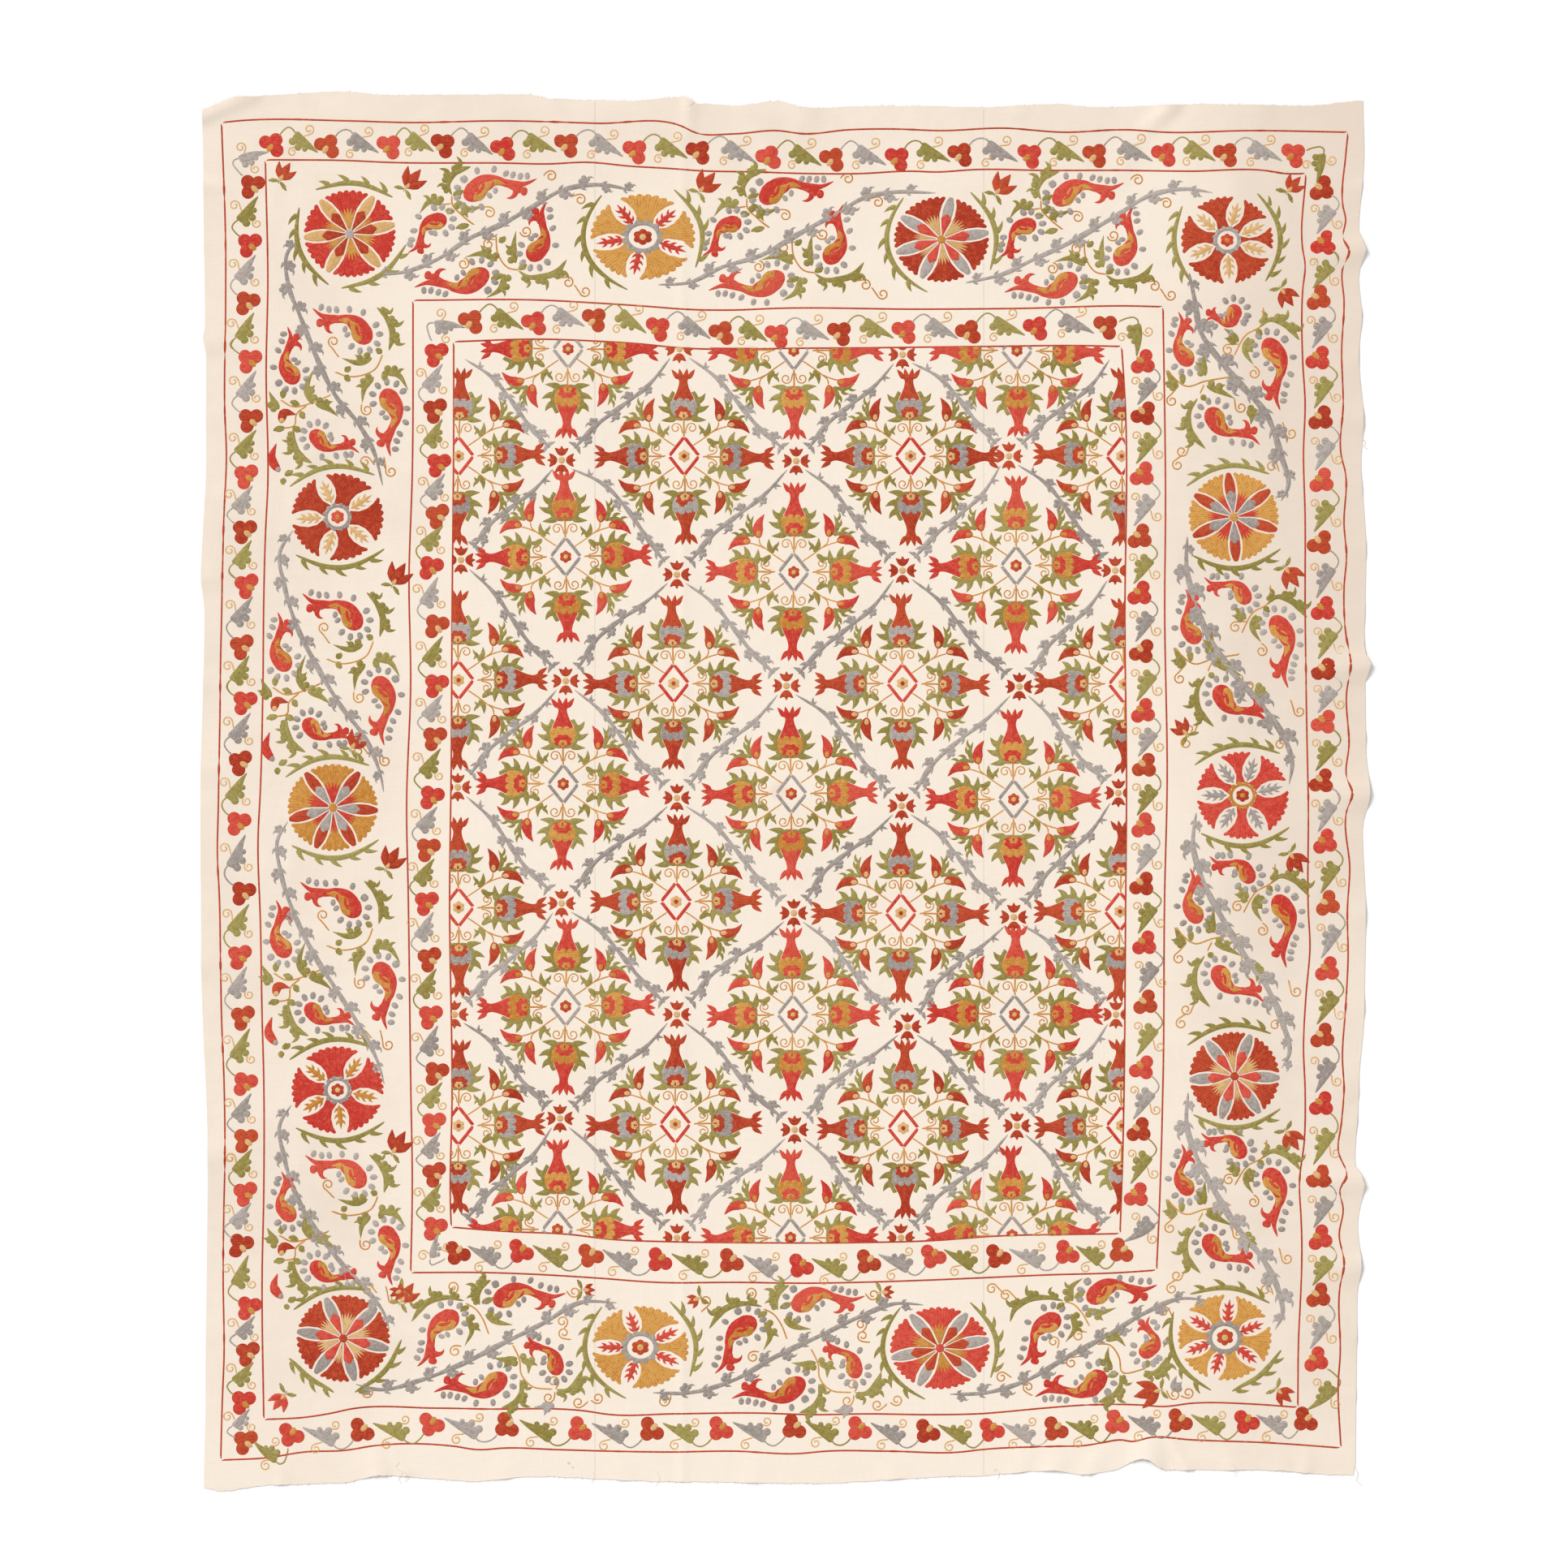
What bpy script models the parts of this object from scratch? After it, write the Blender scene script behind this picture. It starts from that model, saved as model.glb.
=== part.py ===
"""Embroidered bedcover of three loom widths, laid flat on the surface that it rests on.

Each loom width is one closed sheet of cloth. Its outline is as uneven as hand-woven cloth is: the outer
selvages run in and out, the raw ends waver, and low folds lift the edges off the surface. The middle of the
cloth lies flat. Lengths in the tables are millimetres from the middle of the cloth, X to the right and Y to
the top; the meshes are in metres.
"""

import math
from typing import NamedTuple

import bmesh
import bpy

MM = 0.001

CLOTH_THICKNESS = 1.5
SEAM_GAP = 0.3
LEFT_SEAM_X = -352.5
RIGHT_SEAM_X = 366.0
HALF_WIDTH = 1075.0
HALF_LENGTH = 1275.0
EVEN_STEP = 45.0
CLOSEST_STEP = 8.0
CREASE_X = -190.5
CREASE_HALF_WIDTH = 16.0

COTTON_COLOR = (0.85, 0.78, 0.68, 1.0)
COTTON_ROUGHNESS = 0.92


class EdgeRow(NamedTuple):
    """Where an edge of the cloth passes: its place along the edge, and how far out from the middle it is."""

    along: float
    out: float


class Fold(NamedTuple):
    """A soft ridge from a start to an end, with the height of its crest at both."""

    start_x: float
    start_y: float
    end_x: float
    end_y: float
    half_width: float
    start_lift: float
    end_lift: float


LEFT_SELVAGE = (
    EdgeRow(along=-1285.0, out=1075.0),
    EdgeRow(along=-1125.0, out=1072.0),
    EdgeRow(along=-678.0, out=1068.0),
    EdgeRow(along=-303.0, out=1080.0),
    EdgeRow(along=-30.0, out=1081.5),
    EdgeRow(along=330.0, out=1074.0),
    EdgeRow(along=395.0, out=1080.0),
    EdgeRow(along=609.0, out=1071.0),
    EdgeRow(along=816.0, out=1071.0),
    EdgeRow(along=831.0, out=1077.0),
    EdgeRow(along=860.0, out=1073.0),
    EdgeRow(along=1120.0, out=1076.0),
    EdgeRow(along=1260.0, out=1078.0),
)

RIGHT_SELVAGE = (
    EdgeRow(along=-1263.0, out=1049.0),
    EdgeRow(along=-1240.0, out=1053.0),
    EdgeRow(along=-935.0, out=1056.0),
    EdgeRow(along=-876.0, out=1064.0),
    EdgeRow(along=-800.0, out=1057.0),
    EdgeRow(along=-723.0, out=1069.5),
    EdgeRow(along=-686.0, out=1052.0),
    EdgeRow(along=-550.0, out=1059.0),
    EdgeRow(along=-400.0, out=1069.5),
    EdgeRow(along=-227.0, out=1072.0),
    EdgeRow(along=-69.0, out=1066.0),
    EdgeRow(along=-3.0, out=1080.0),
    EdgeRow(along=84.0, out=1072.0),
    EdgeRow(along=200.0, out=1071.0),
    EdgeRow(along=234.0, out=1081.5),
    EdgeRow(along=262.0, out=1069.5),
    EdgeRow(along=448.0, out=1072.5),
    EdgeRow(along=609.0, out=1063.5),
    EdgeRow(along=684.0, out=1068.0),
    EdgeRow(along=808.0, out=1059.0),
    EdgeRow(along=876.0, out=1065.0),
    EdgeRow(along=952.0, out=1059.0),
    EdgeRow(along=1006.0, out=1072.5),
    EdgeRow(along=1032.0, out=1059.0),
    EdgeRow(along=1180.0, out=1069.0),
    EdgeRow(along=1276.0, out=1067.0),
)

TOP_END = (
    EdgeRow(along=-1081.0, out=1260.0),
    EdgeRow(along=-1007.0, out=1284.0),
    EdgeRow(along=-816.0, out=1293.0),
    EdgeRow(along=-737.0, out=1287.0),
    EdgeRow(along=-475.0, out=1288.0),
    EdgeRow(along=-426.0, out=1279.0),
    EdgeRow(along=-283.0, out=1276.0),
    EdgeRow(along=-189.0, out=1284.0),
    EdgeRow(along=-165.0, out=1271.0),
    EdgeRow(along=-93.0, out=1267.0),
    EdgeRow(along=-16.0, out=1276.0),
    EdgeRow(along=37.0, out=1263.0),
    EdgeRow(along=210.0, out=1267.0),
    EdgeRow(along=363.0, out=1264.0),
    EdgeRow(along=496.0, out=1270.0),
    EdgeRow(along=573.0, out=1264.0),
    EdgeRow(along=787.0, out=1270.0),
    EdgeRow(along=980.0, out=1267.0),
    EdgeRow(along=1066.0, out=1276.0),
)

BOTTOM_END = (
    EdgeRow(along=-1075.0, out=1287.0),
    EdgeRow(along=-1045.0, out=1293.0),
    EdgeRow(along=-950.0, out=1282.0),
    EdgeRow(along=-816.0, out=1278.0),
    EdgeRow(along=-751.0, out=1264.0),
    EdgeRow(along=-567.0, out=1275.0),
    EdgeRow(along=-475.0, out=1266.0),
    EdgeRow(along=-189.0, out=1276.0),
    EdgeRow(along=45.0, out=1279.0),
    EdgeRow(along=324.0, out=1266.0),
    EdgeRow(along=496.0, out=1255.0),
    EdgeRow(along=558.0, out=1263.0),
    EdgeRow(along=609.0, out=1256.0),
    EdgeRow(along=669.0, out=1233.0),
    EdgeRow(along=718.0, out=1254.0),
    EdgeRow(along=903.0, out=1254.0),
    EdgeRow(along=1048.0, out=1263.0),
)

SELVAGE_FOLDS = (
    Fold(1085.0, 1006.0, 950.0, 985.0, 30.0, 9.0, 0.0),
    Fold(1085.0, 684.0, 985.0, 694.0, 34.0, 5.0, 0.0),
    Fold(1085.0, 234.0, 925.0, 220.0, 30.0, 10.0, 0.0),
    Fold(1085.0, -3.0, 940.0, -16.0, 34.0, 8.0, 0.0),
    Fold(1085.0, -227.0, 1000.0, -235.0, 40.0, 4.0, 0.0),
    Fold(1085.0, -723.0, 930.0, -712.0, 30.0, 10.0, 0.0),
    Fold(1085.0, -876.0, 950.0, -888.0, 34.0, 7.0, 0.0),
    Fold(-1085.0, 1120.0, -1010.0, 1112.0, 22.0, 4.0, 0.0),
    Fold(-1085.0, 831.0, -990.0, 825.0, 24.0, 5.0, 0.0),
    Fold(-1085.0, 395.0, -1000.0, 402.0, 32.0, 5.0, 0.0),
    Fold(-1085.0, -322.0, -1010.0, -318.0, 26.0, 4.0, 0.0),
    Fold(-1085.0, -678.0, -980.0, -668.0, 30.0, 5.0, 0.0),
)

END_FOLDS = (
    Fold(-751.0, -1275.0, -762.0, -1190.0, 34.0, 5.0, 0.0),
    Fold(496.0, -1270.0, 500.0, -1190.0, 34.0, 5.0, 0.0),
    Fold(669.0, -1250.0, 664.0, -1180.0, 42.0, 9.0, 0.0),
    Fold(-177.0, 1285.0, -180.0, 1180.0, 24.0, 6.0, 0.0),
    Fold(37.0, 1280.0, 37.0, 1195.0, 32.0, 5.0, 0.0),
    Fold(573.0, 1280.0, 590.0, 1200.0, 32.0, 4.0, 0.0),
    Fold(716.0, 1270.0, 648.0, 1210.0, 26.0, 5.0, 1.0),
    Fold(-1085.0, 1246.0, -985.0, 1290.0, 26.0, 6.0, 4.0),
)

OLD_CREASE = Fold(CREASE_X, HALF_LENGTH, CREASE_X, -HALF_LENGTH, CREASE_HALF_WIDTH, 1.2, 1.2)

ALL_FOLDS = (*SELVAGE_FOLDS, *END_FOLDS, OLD_CREASE)


def edge_out(rows, along):
    """How far out an edge is at a place along it, eased from one row of its table to the next."""
    if along <= rows[0].along:
        return rows[0].out
    for low, high in zip(rows, rows[1:]):
        if along <= high.along:
            share = (along - low.along) / (high.along - low.along)
            return low.out + (high.out - low.out) * (3.0 - 2.0 * share) * share * share
    return rows[-1].out


def fold_lift(fold, x, y):
    """Height that one fold gives the cloth at a place."""
    run_x = fold.end_x - fold.start_x
    run_y = fold.end_y - fold.start_y
    length = math.hypot(run_x, run_y)
    share = ((x - fold.start_x) * run_x + (y - fold.start_y) * run_y) / (length * length)
    share = min(max(share, 0.0), 1.0)
    aside = math.hypot(x - fold.start_x - share * run_x, y - fold.start_y - share * run_y)
    if aside >= fold.half_width:
        return 0.0
    crest = fold.start_lift + (fold.end_lift - fold.start_lift) * share
    return crest * math.cos(0.5 * math.pi * aside / fold.half_width) ** 2


def cloth_height(x, y):
    """Height of the cloth's underside over the surface."""
    return max(fold_lift(fold, x, y) for fold in ALL_FOLDS)


def stations(start, stop, special):
    """Places from start to stop, evenly apart, and closer where special places need them."""
    kept = [start]
    for place in sorted(special):
        if place - kept[-1] >= CLOSEST_STEP and stop - place >= CLOSEST_STEP:
            kept.append(place)
    kept.append(stop)
    filled = [start]
    for low, high in zip(kept, kept[1:]):
        steps = math.ceil((high - low) / EVEN_STEP)
        filled.extend(low + (high - low) * step / steps for step in range(1, steps + 1))
    return filled


def row_places():
    """Rows that the grid needs: the outer selvages' own, and the crest and both feet of each fold there."""
    yield from (row.along for row in (*LEFT_SELVAGE, *RIGHT_SELVAGE))
    for fold in SELVAGE_FOLDS:
        yield from (fold.start_y + fold.half_width * share for share in (-1.0, -0.5, 0.0, 0.5, 1.0))
    for fold in END_FOLDS:
        yield fold.end_y


def column_places():
    """Columns that the grid needs: the two ends' own, the old crease's, and those of the ends' folds."""
    yield from (row.along for row in (*TOP_END, *BOTTOM_END))
    yield from (CREASE_X - CREASE_HALF_WIDTH, CREASE_X, CREASE_X + CREASE_HALF_WIDTH)
    for fold in END_FOLDS:
        yield from (fold.start_x + fold.half_width * share for share in (-1.0, -0.5, 0.0, 0.5, 1.0))
    for fold in SELVAGE_FOLDS:
        yield fold.end_x


def shaped(x, y):
    """Moves a place on the nominal rectangle to where it lies inside the cloth's uneven outline."""
    ends = TOP_END if y > 0.0 else BOTTOM_END
    along_end = min(max(x, -HALF_WIDTH), HALF_WIDTH)
    moved_y = y * edge_out(ends, along_end) / HALF_LENGTH
    if x < LEFT_SEAM_X:
        inward = (LEFT_SEAM_X - x) / (LEFT_SEAM_X + HALF_WIDTH)
        return x - inward * (edge_out(LEFT_SELVAGE, moved_y) - HALF_WIDTH), moved_y
    if x > RIGHT_SEAM_X:
        inward = (x - RIGHT_SEAM_X) / (HALF_WIDTH - RIGHT_SEAM_X)
        return x + inward * (edge_out(RIGHT_SELVAGE, moved_y) - HALF_WIDTH), moved_y
    return x, moved_y


def cotton(name):
    """Unbleached hand-woven cotton."""
    material = bpy.data.materials.new(name)
    material.use_nodes = True
    shader = material.node_tree.nodes["Principled BSDF"]
    shader.inputs["Base Color"].default_value = COTTON_COLOR
    shader.inputs["Roughness"].default_value = COTTON_ROUGHNESS
    shader.inputs["Metallic"].default_value = 0.0
    return material


def loom_width(name, left, right, rows, collection):
    """One loom width of the cloth: a grid shaped to the outline and the folds, thickened upwards."""
    inner_columns = [place for place in column_places() if left < place < right]
    columns = stations(left, right, inner_columns)
    last_column = len(columns) - 1
    last_row = len(rows) - 1
    sheet = bmesh.new()
    bmesh.ops.create_grid(sheet, x_segments=last_column, y_segments=last_row, size=0.5)
    for vertex in sheet.verts:
        column = columns[round((vertex.co.x + 0.5) * last_column)]
        row = rows[round((vertex.co.y + 0.5) * last_row)]
        x, y = shaped(column, row)
        vertex.co = (x * MM, y * MM, cloth_height(x, y) * MM)
    mesh = bpy.data.meshes.new(name)
    sheet.to_mesh(mesh)
    sheet.free()
    mesh.shade_smooth()
    mesh.materials.append(cotton(name + "_cotton"))
    panel = bpy.data.objects.new(name, mesh)
    collection.objects.link(panel)
    thickness = panel.modifiers.new("cloth_thickness", "SOLIDIFY")
    thickness.thickness = CLOTH_THICKNESS * MM
    thickness.offset = 1.0
    return panel


def main():
    for thing in list(bpy.data.objects):
        bpy.data.objects.remove(thing, do_unlink=True)
    collection = bpy.data.collections.new("suzani")
    bpy.context.scene.collection.children.link(collection)
    inner_rows = [place for place in row_places() if abs(place) < HALF_LENGTH]
    rows = stations(-HALF_LENGTH, HALF_LENGTH, inner_rows)
    half_gap = SEAM_GAP / 2.0
    loom_width("panel_left", -HALF_WIDTH, LEFT_SEAM_X - half_gap, rows, collection)
    loom_width("panel_middle", LEFT_SEAM_X + half_gap, RIGHT_SEAM_X - half_gap, rows, collection)
    loom_width("panel_right", RIGHT_SEAM_X + half_gap, HALF_WIDTH, rows, collection)


main()
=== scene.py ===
"""Embroidered cotton bedcover: its cloth, its thread and the light on it.

The cloth is three loom widths, laid flat. It is worked all over in chain stitch: two guard borders of trefoil
flowers, a wide border of rosettes, thorny vines and paisleys, and a field of pomegranates in a lattice.

The chart counts squares of 1.5 mm, across from the left and down from the top. Its middle, at 968 across and
975 down, is the middle of the cloth. Motifs are drawn in squares from the middle, X to the right and Y to the
top. Folds and edges are in millimetres from the middle, as in the part's source.
"""

import math
from typing import NamedTuple

import bpy
import numpy as np
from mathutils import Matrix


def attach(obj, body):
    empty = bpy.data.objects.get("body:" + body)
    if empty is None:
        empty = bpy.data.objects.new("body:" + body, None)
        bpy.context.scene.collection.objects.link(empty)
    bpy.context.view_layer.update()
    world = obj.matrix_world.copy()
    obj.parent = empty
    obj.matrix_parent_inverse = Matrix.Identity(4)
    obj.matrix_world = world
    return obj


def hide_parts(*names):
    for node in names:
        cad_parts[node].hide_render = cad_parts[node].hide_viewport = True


bl_info = {
    "name": "Embroidered bedcover",
    "version": (1, 0, 0),
    "blender": (4, 5, 0),
    "location": "3D View > Sidebar > Bedcover",
    "description": "Lays the cloth of the bedcover, works its embroidery and sets the light",
    "category": "Object",
}

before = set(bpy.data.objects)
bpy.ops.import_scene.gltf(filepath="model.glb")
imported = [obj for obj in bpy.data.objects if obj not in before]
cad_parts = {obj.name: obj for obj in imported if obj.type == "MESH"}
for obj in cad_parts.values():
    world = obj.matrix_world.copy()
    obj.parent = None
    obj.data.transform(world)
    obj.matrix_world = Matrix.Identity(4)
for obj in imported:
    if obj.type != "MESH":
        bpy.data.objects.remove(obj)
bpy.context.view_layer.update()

MM = 0.001
SQUARE = 1.5
MIDDLE_ACROSS = 968.0
MIDDLE_DOWN = 975.0

LEFT_SEAM_X = -352.5
RIGHT_SEAM_X = 366.0
HALF_WIDTH = 1075.0
HALF_LENGTH = 1275.0
SEAM_GAP = 0.3
CREASE_X = -190.5
CREASE_HALF_WIDTH = 16.0
FINE_REACH = 165.0

WARP_PITCH = 0.0011
WEFT_PITCH = 0.0012
ROW_WIDTH = 3.1
LINK_LENGTH = 4.6
ROW_STRETCH = 1.3


class EdgeRow(NamedTuple):
    """Where an edge of the cloth passes: its place along the edge, and how far out from the middle it is."""

    along: float
    out: float


class Fold(NamedTuple):
    """A soft ridge from a start to an end, with the height of its crest at both."""

    start_x: float
    start_y: float
    end_x: float
    end_y: float
    half_width: float
    start_lift: float
    end_lift: float


def edge_rows(*pairs):
    """Rows of an edge's table from pairs of along and out."""
    return tuple(EdgeRow(along, out) for along, out in pairs)


LEFT_SELVAGE = edge_rows(
    (-1285, 1075), (-1125, 1072), (-678, 1068), (-303, 1080), (-30, 1081.5), (330, 1074), (395, 1080),
    (609, 1071),
    (816, 1071), (831, 1077), (860, 1073), (1120, 1076), (1260, 1078),
)

RIGHT_SELVAGE = edge_rows(
    (-1263, 1049), (-1240, 1053), (-935, 1056), (-876, 1064), (-800, 1057), (-723, 1069.5), (-686, 1052),
    (-550, 1059), (-400, 1069.5), (-227, 1072), (-69, 1066), (-3, 1080), (84, 1072), (200, 1071),
    (234, 1081.5),
    (262, 1069.5), (448, 1072.5), (609, 1063.5), (684, 1068), (808, 1059), (876, 1065), (952, 1059),
    (1006, 1072.5), (1032, 1059), (1180, 1069), (1276, 1067),
)

TOP_END = edge_rows(
    (-1081, 1260), (-1007, 1284), (-816, 1293), (-737, 1287), (-475, 1288), (-426, 1279), (-283, 1276),
    (-189, 1284), (-165, 1271), (-93, 1267), (-16, 1276), (37, 1263), (210, 1267), (363, 1264), (496, 1270),
    (573, 1264), (787, 1270), (980, 1267), (1066, 1276),
)

BOTTOM_END = edge_rows(
    (-1075, 1287), (-1045, 1293), (-950, 1282), (-816, 1278), (-751, 1264), (-567, 1275), (-475, 1266),
    (-189, 1276), (45, 1279), (324, 1266), (496, 1255), (558, 1263), (609, 1256), (669, 1233), (718, 1254),
    (903, 1254), (1048, 1263),
)

LARGE_FOLDS = (
    Fold(1085, 1006, 950, 985, 30, 9, 0),
    Fold(1085, 684, 985, 694, 34, 5, 0),
    Fold(1085, 234, 925, 220, 30, 10, 0),
    Fold(1085, -3, 940, -16, 34, 8, 0),
    Fold(1085, -227, 1000, -235, 40, 4, 0),
    Fold(1085, -723, 930, -712, 30, 10, 0),
    Fold(1085, -876, 950, -888, 34, 7, 0),
    Fold(-1085, 1120, -1010, 1112, 22, 4, 0),
    Fold(-1085, 831, -990, 825, 24, 5, 0),
    Fold(-1085, 395, -1000, 402, 32, 5, 0),
    Fold(-1085, -322, -1010, -318, 26, 4, 0),
    Fold(-1085, -678, -980, -668, 30, 5, 0),
    Fold(-751, -1275, -762, -1190, 34, 5, 0),
    Fold(496, -1270, 500, -1190, 34, 5, 0),
    Fold(669, -1250, 664, -1180, 42, 9, 0),
    Fold(-177, 1285, -180, 1180, 24, 6, 0),
    Fold(37, 1280, 37, 1195, 32, 5, 0),
    Fold(573, 1280, 590, 1200, 32, 4, 0),
    Fold(716, 1270, 648, 1210, 26, 5, 1),
    Fold(-1085, 1246, -985, 1290, 26, 6, 4),
    Fold(CREASE_X, HALF_LENGTH, CREASE_X, -HALF_LENGTH, CREASE_HALF_WIDTH, 1.2, 1.2),
)

SMALL_FOLDS = (
    Fold(1085, 1120, 1015, 1105, 22, 3.0, 0),
    Fold(1085, 880, 1000, 872, 24, 3.2, 0),
    Fold(1085, 560, 1010, 570, 24, 2.6, 0),
    Fold(1085, 450, 1000, 436, 20, 3.0, 0),
    Fold(1085, 330, 1020, 325, 18, 2.4, 0),
    Fold(1085, 96, 1005, 104, 22, 3.0, 0),
    Fold(1085, -400, 1000, -392, 24, 3.4, 0),
    Fold(1085, -556, 1010, -548, 22, 2.6, 0),
    Fold(1085, -1010, 1000, -1004, 24, 2.8, 0),
    Fold(1085, -1120, 1010, -1112, 20, 2.4, 0),
    Fold(-1085, 1010, -1015, 1004, 20, 2.2, 0),
    Fold(-1085, 690, -1010, 700, 22, 2.6, 0),
    Fold(-1085, 540, -1005, 545, 20, 2.0, 0),
    Fold(-1085, 200, -1010, 190, 24, 2.4, 0),
    Fold(-1085, 40, -1000, 34, 22, 2.8, 0),
    Fold(-1085, -150, -1010, -160, 20, 2.2, 0),
    Fold(-1085, -480, -1000, -474, 24, 2.6, 0),
    Fold(-1085, -850, -1005, -860, 22, 2.4, 0),
    Fold(-1085, -1010, -1010, -1002, 20, 2.2, 0),
    Fold(-900, 1295, -893, 1215, 22, 2.4, 0),
    Fold(-640, 1295, -632, 1205, 24, 2.6, 0),
    Fold(-420, 1290, -428, 1200, 22, 2.8, 0),
    Fold(-300, 1290, -290, 1220, 18, 2.0, 0),
    Fold(240, 1275, 236, 1205, 22, 2.2, 0),
    Fold(430, 1275, 440, 1210, 20, 2.0, 0),
    Fold(880, 1275, 874, 1205, 24, 2.6, 0),
    Fold(-930, -1290, -936, -1215, 22, 2.4, 0),
    Fold(-520, -1280, -512, -1205, 24, 2.6, 0),
    Fold(-300, -1280, -306, -1210, 20, 2.0, 0),
    Fold(-60, -1282, -52, -1205, 24, 2.4, 0),
    Fold(200, -1275, 206, -1205, 22, 2.4, 0),
    Fold(830, -1260, 822, -1190, 24, 2.6, 0),
    Fold(960, -1262, 968, -1190, 20, 2.2, 0),
    Fold(-930, 1190, -960, 1010, 28, 2.0, 0.5),
    Fold(-880, 620, -925, 420, 32, 1.6, 0.4),
    Fold(-900, -40, -935, -260, 30, 1.7, 0.4),
    Fold(-860, -560, -915, -760, 30, 1.9, 0.4),
    Fold(905, 1130, 955, 960, 28, 2.0, 0.4),
    Fold(880, 560, 935, 360, 32, 1.8, 0.4),
    Fold(900, -340, 950, -520, 28, 2.0, 0.4),
    Fold(820, -990, 930, -1110, 30, 2.2, 0.5),
    Fold(640, 1190, 560, 1040, 32, 2.0, 0.4),
    Fold(-40, 1180, -30, 980, 32, 1.6, 0.3),
    Fold(560, -1060, 600, -1190, 30, 2.0, 1.4),
    Fold(-610, -980, -560, -1170, 30, 1.7, 0.7),
    Fold(-380, 700, -330, 420, 36, 1.3, 0.2),
    Fold(120, 560, 90, 260, 38, 1.2, 0.2),
    Fold(420, -120, 470, -420, 38, 1.3, 0.2),
    Fold(-120, -260, -90, -560, 36, 1.2, 0.2),
    Fold(-560, 60, -540, -260, 34, 1.2, 0.2),
    Fold(690, -1158, 752, -1268, 14, 0.8, 4.6),
    Fold(604, -1190, 560, -1262, 18, 0.6, 3.2),
    Fold(-762, -1180, -700, -1262, 16, 0.6, 2.4),
    Fold(470, -1180, 430, -1262, 24, 0.5, 2.2),
    Fold(890, -1200, 930, -1278, 24, 0.5, 2.2),
    Fold(1010, 300, 1068, 262, 24, 0.5, 2.2),
    Fold(1000, -640, 1066, -606, 24, 0.5, 2.2),
    Fold(1010, 760, 1070, 812, 24, 0.5, 2.0),
    Fold(-1012, 470, -1070, 500, 24, 0.5, 2.0),
)

CREASED_BANDS = ((-775.0, -690.0), (612.0, 755.0))

CLOTH_FOLDS = (*LARGE_FOLDS, *SMALL_FOLDS)


def edge_out(rows, along):
    """How far out an edge is at places along it, eased from one row of its table to the next."""
    places = np.array([row.along for row in rows], float)
    outs = np.array([row.out for row in rows], float)
    along = np.clip(along, places[0], places[-1])
    low = np.clip(np.searchsorted(places, along, side="right") - 1, 0, len(places) - 2)
    share = (along - places[low]) / (places[low + 1] - places[low])
    return outs[low] + (outs[low + 1] - outs[low]) * (3.0 - 2.0 * share) * share * share


def fold_lift(fold, x, y):
    """Height that one fold gives the cloth at places."""
    run_x = fold.end_x - fold.start_x
    run_y = fold.end_y - fold.start_y
    share = ((x - fold.start_x) * run_x + (y - fold.start_y) * run_y) / (run_x * run_x + run_y * run_y)
    share = np.clip(share, 0.0, 1.0)
    aside = np.hypot(x - fold.start_x - share * run_x, y - fold.start_y - share * run_y)
    crest = fold.start_lift + (fold.end_lift - fold.start_lift) * share
    return crest * np.cos(0.5 * math.pi * np.clip(aside / fold.half_width, 0.0, 1.0)) ** 2


def cloth_height(x, y):
    """Height of the cloth's underside over the surface, at places in millimetres."""
    height = np.zeros(np.shape(x))
    for fold in CLOTH_FOLDS:
        height = np.maximum(height, fold_lift(fold, x, y))
    return height


def shaped(x, y):
    """Moves places on the nominal rectangle to where they lie inside the cloth's uneven outline."""
    along_end = np.clip(x, -HALF_WIDTH, HALF_WIDTH)
    end = np.where(y > 0.0, edge_out(TOP_END, along_end), edge_out(BOTTOM_END, along_end))
    moved_y = y * end / HALF_LENGTH
    to_left = np.clip((LEFT_SEAM_X - x) / (LEFT_SEAM_X + HALF_WIDTH), 0.0, 1.0)
    to_right = np.clip((x - RIGHT_SEAM_X) / (HALF_WIDTH - RIGHT_SEAM_X), 0.0, 1.0)
    moved_x = x - to_left * (edge_out(LEFT_SELVAGE, moved_y) - HALF_WIDTH)
    return moved_x + to_right * (edge_out(RIGHT_SELVAGE, moved_y) - HALF_WIDTH), moved_y


def linear(red, green, blue):
    """A colour given as screen values from 0 to 255, as the light values that shaders use."""
    screen = (red / 255.0, green / 255.0, blue / 255.0)
    return tuple(c / 12.92 if c <= 0.04045 else ((c + 0.055) / 1.055) ** 2.4 for c in screen)


class Signal:
    """An output socket, for use in plain sums: each sum adds its own Math node."""

    def __init__(self, finish, socket):
        self.finish = finish
        self.socket = socket

    def math(self, operation, first, second=0.0):
        return self.finish.node("ShaderNodeMath", {"operation": operation}, {0: first, 1: second})

    def __add__(self, other):
        return self.math("ADD", self, other)

    __radd__ = __add__

    def __sub__(self, other):
        return self.math("SUBTRACT", self, other)

    def __rsub__(self, other):
        return self.math("SUBTRACT", other, self)

    def __mul__(self, other):
        return self.math("MULTIPLY", self, other)

    __rmul__ = __mul__

    def __truediv__(self, other):
        return self.math("DIVIDE", self, other)

    def sine(self):
        return self.math("SINE", self)

    def size(self):
        return self.math("ABSOLUTE", self)

    def floor(self):
        return self.math("FLOOR", self)

    def power(self, exponent):
        return self.math("POWER", self, exponent)

    def between(self, low, high):
        """0 under low, 1 over high, and smooth from one to the other."""
        sockets = {"Value": self, "From Min": low, "From Max": high}
        return self.finish.node("ShaderNodeMapRange", {"interpolation_type": "SMOOTHSTEP"}, sockets)


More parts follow.
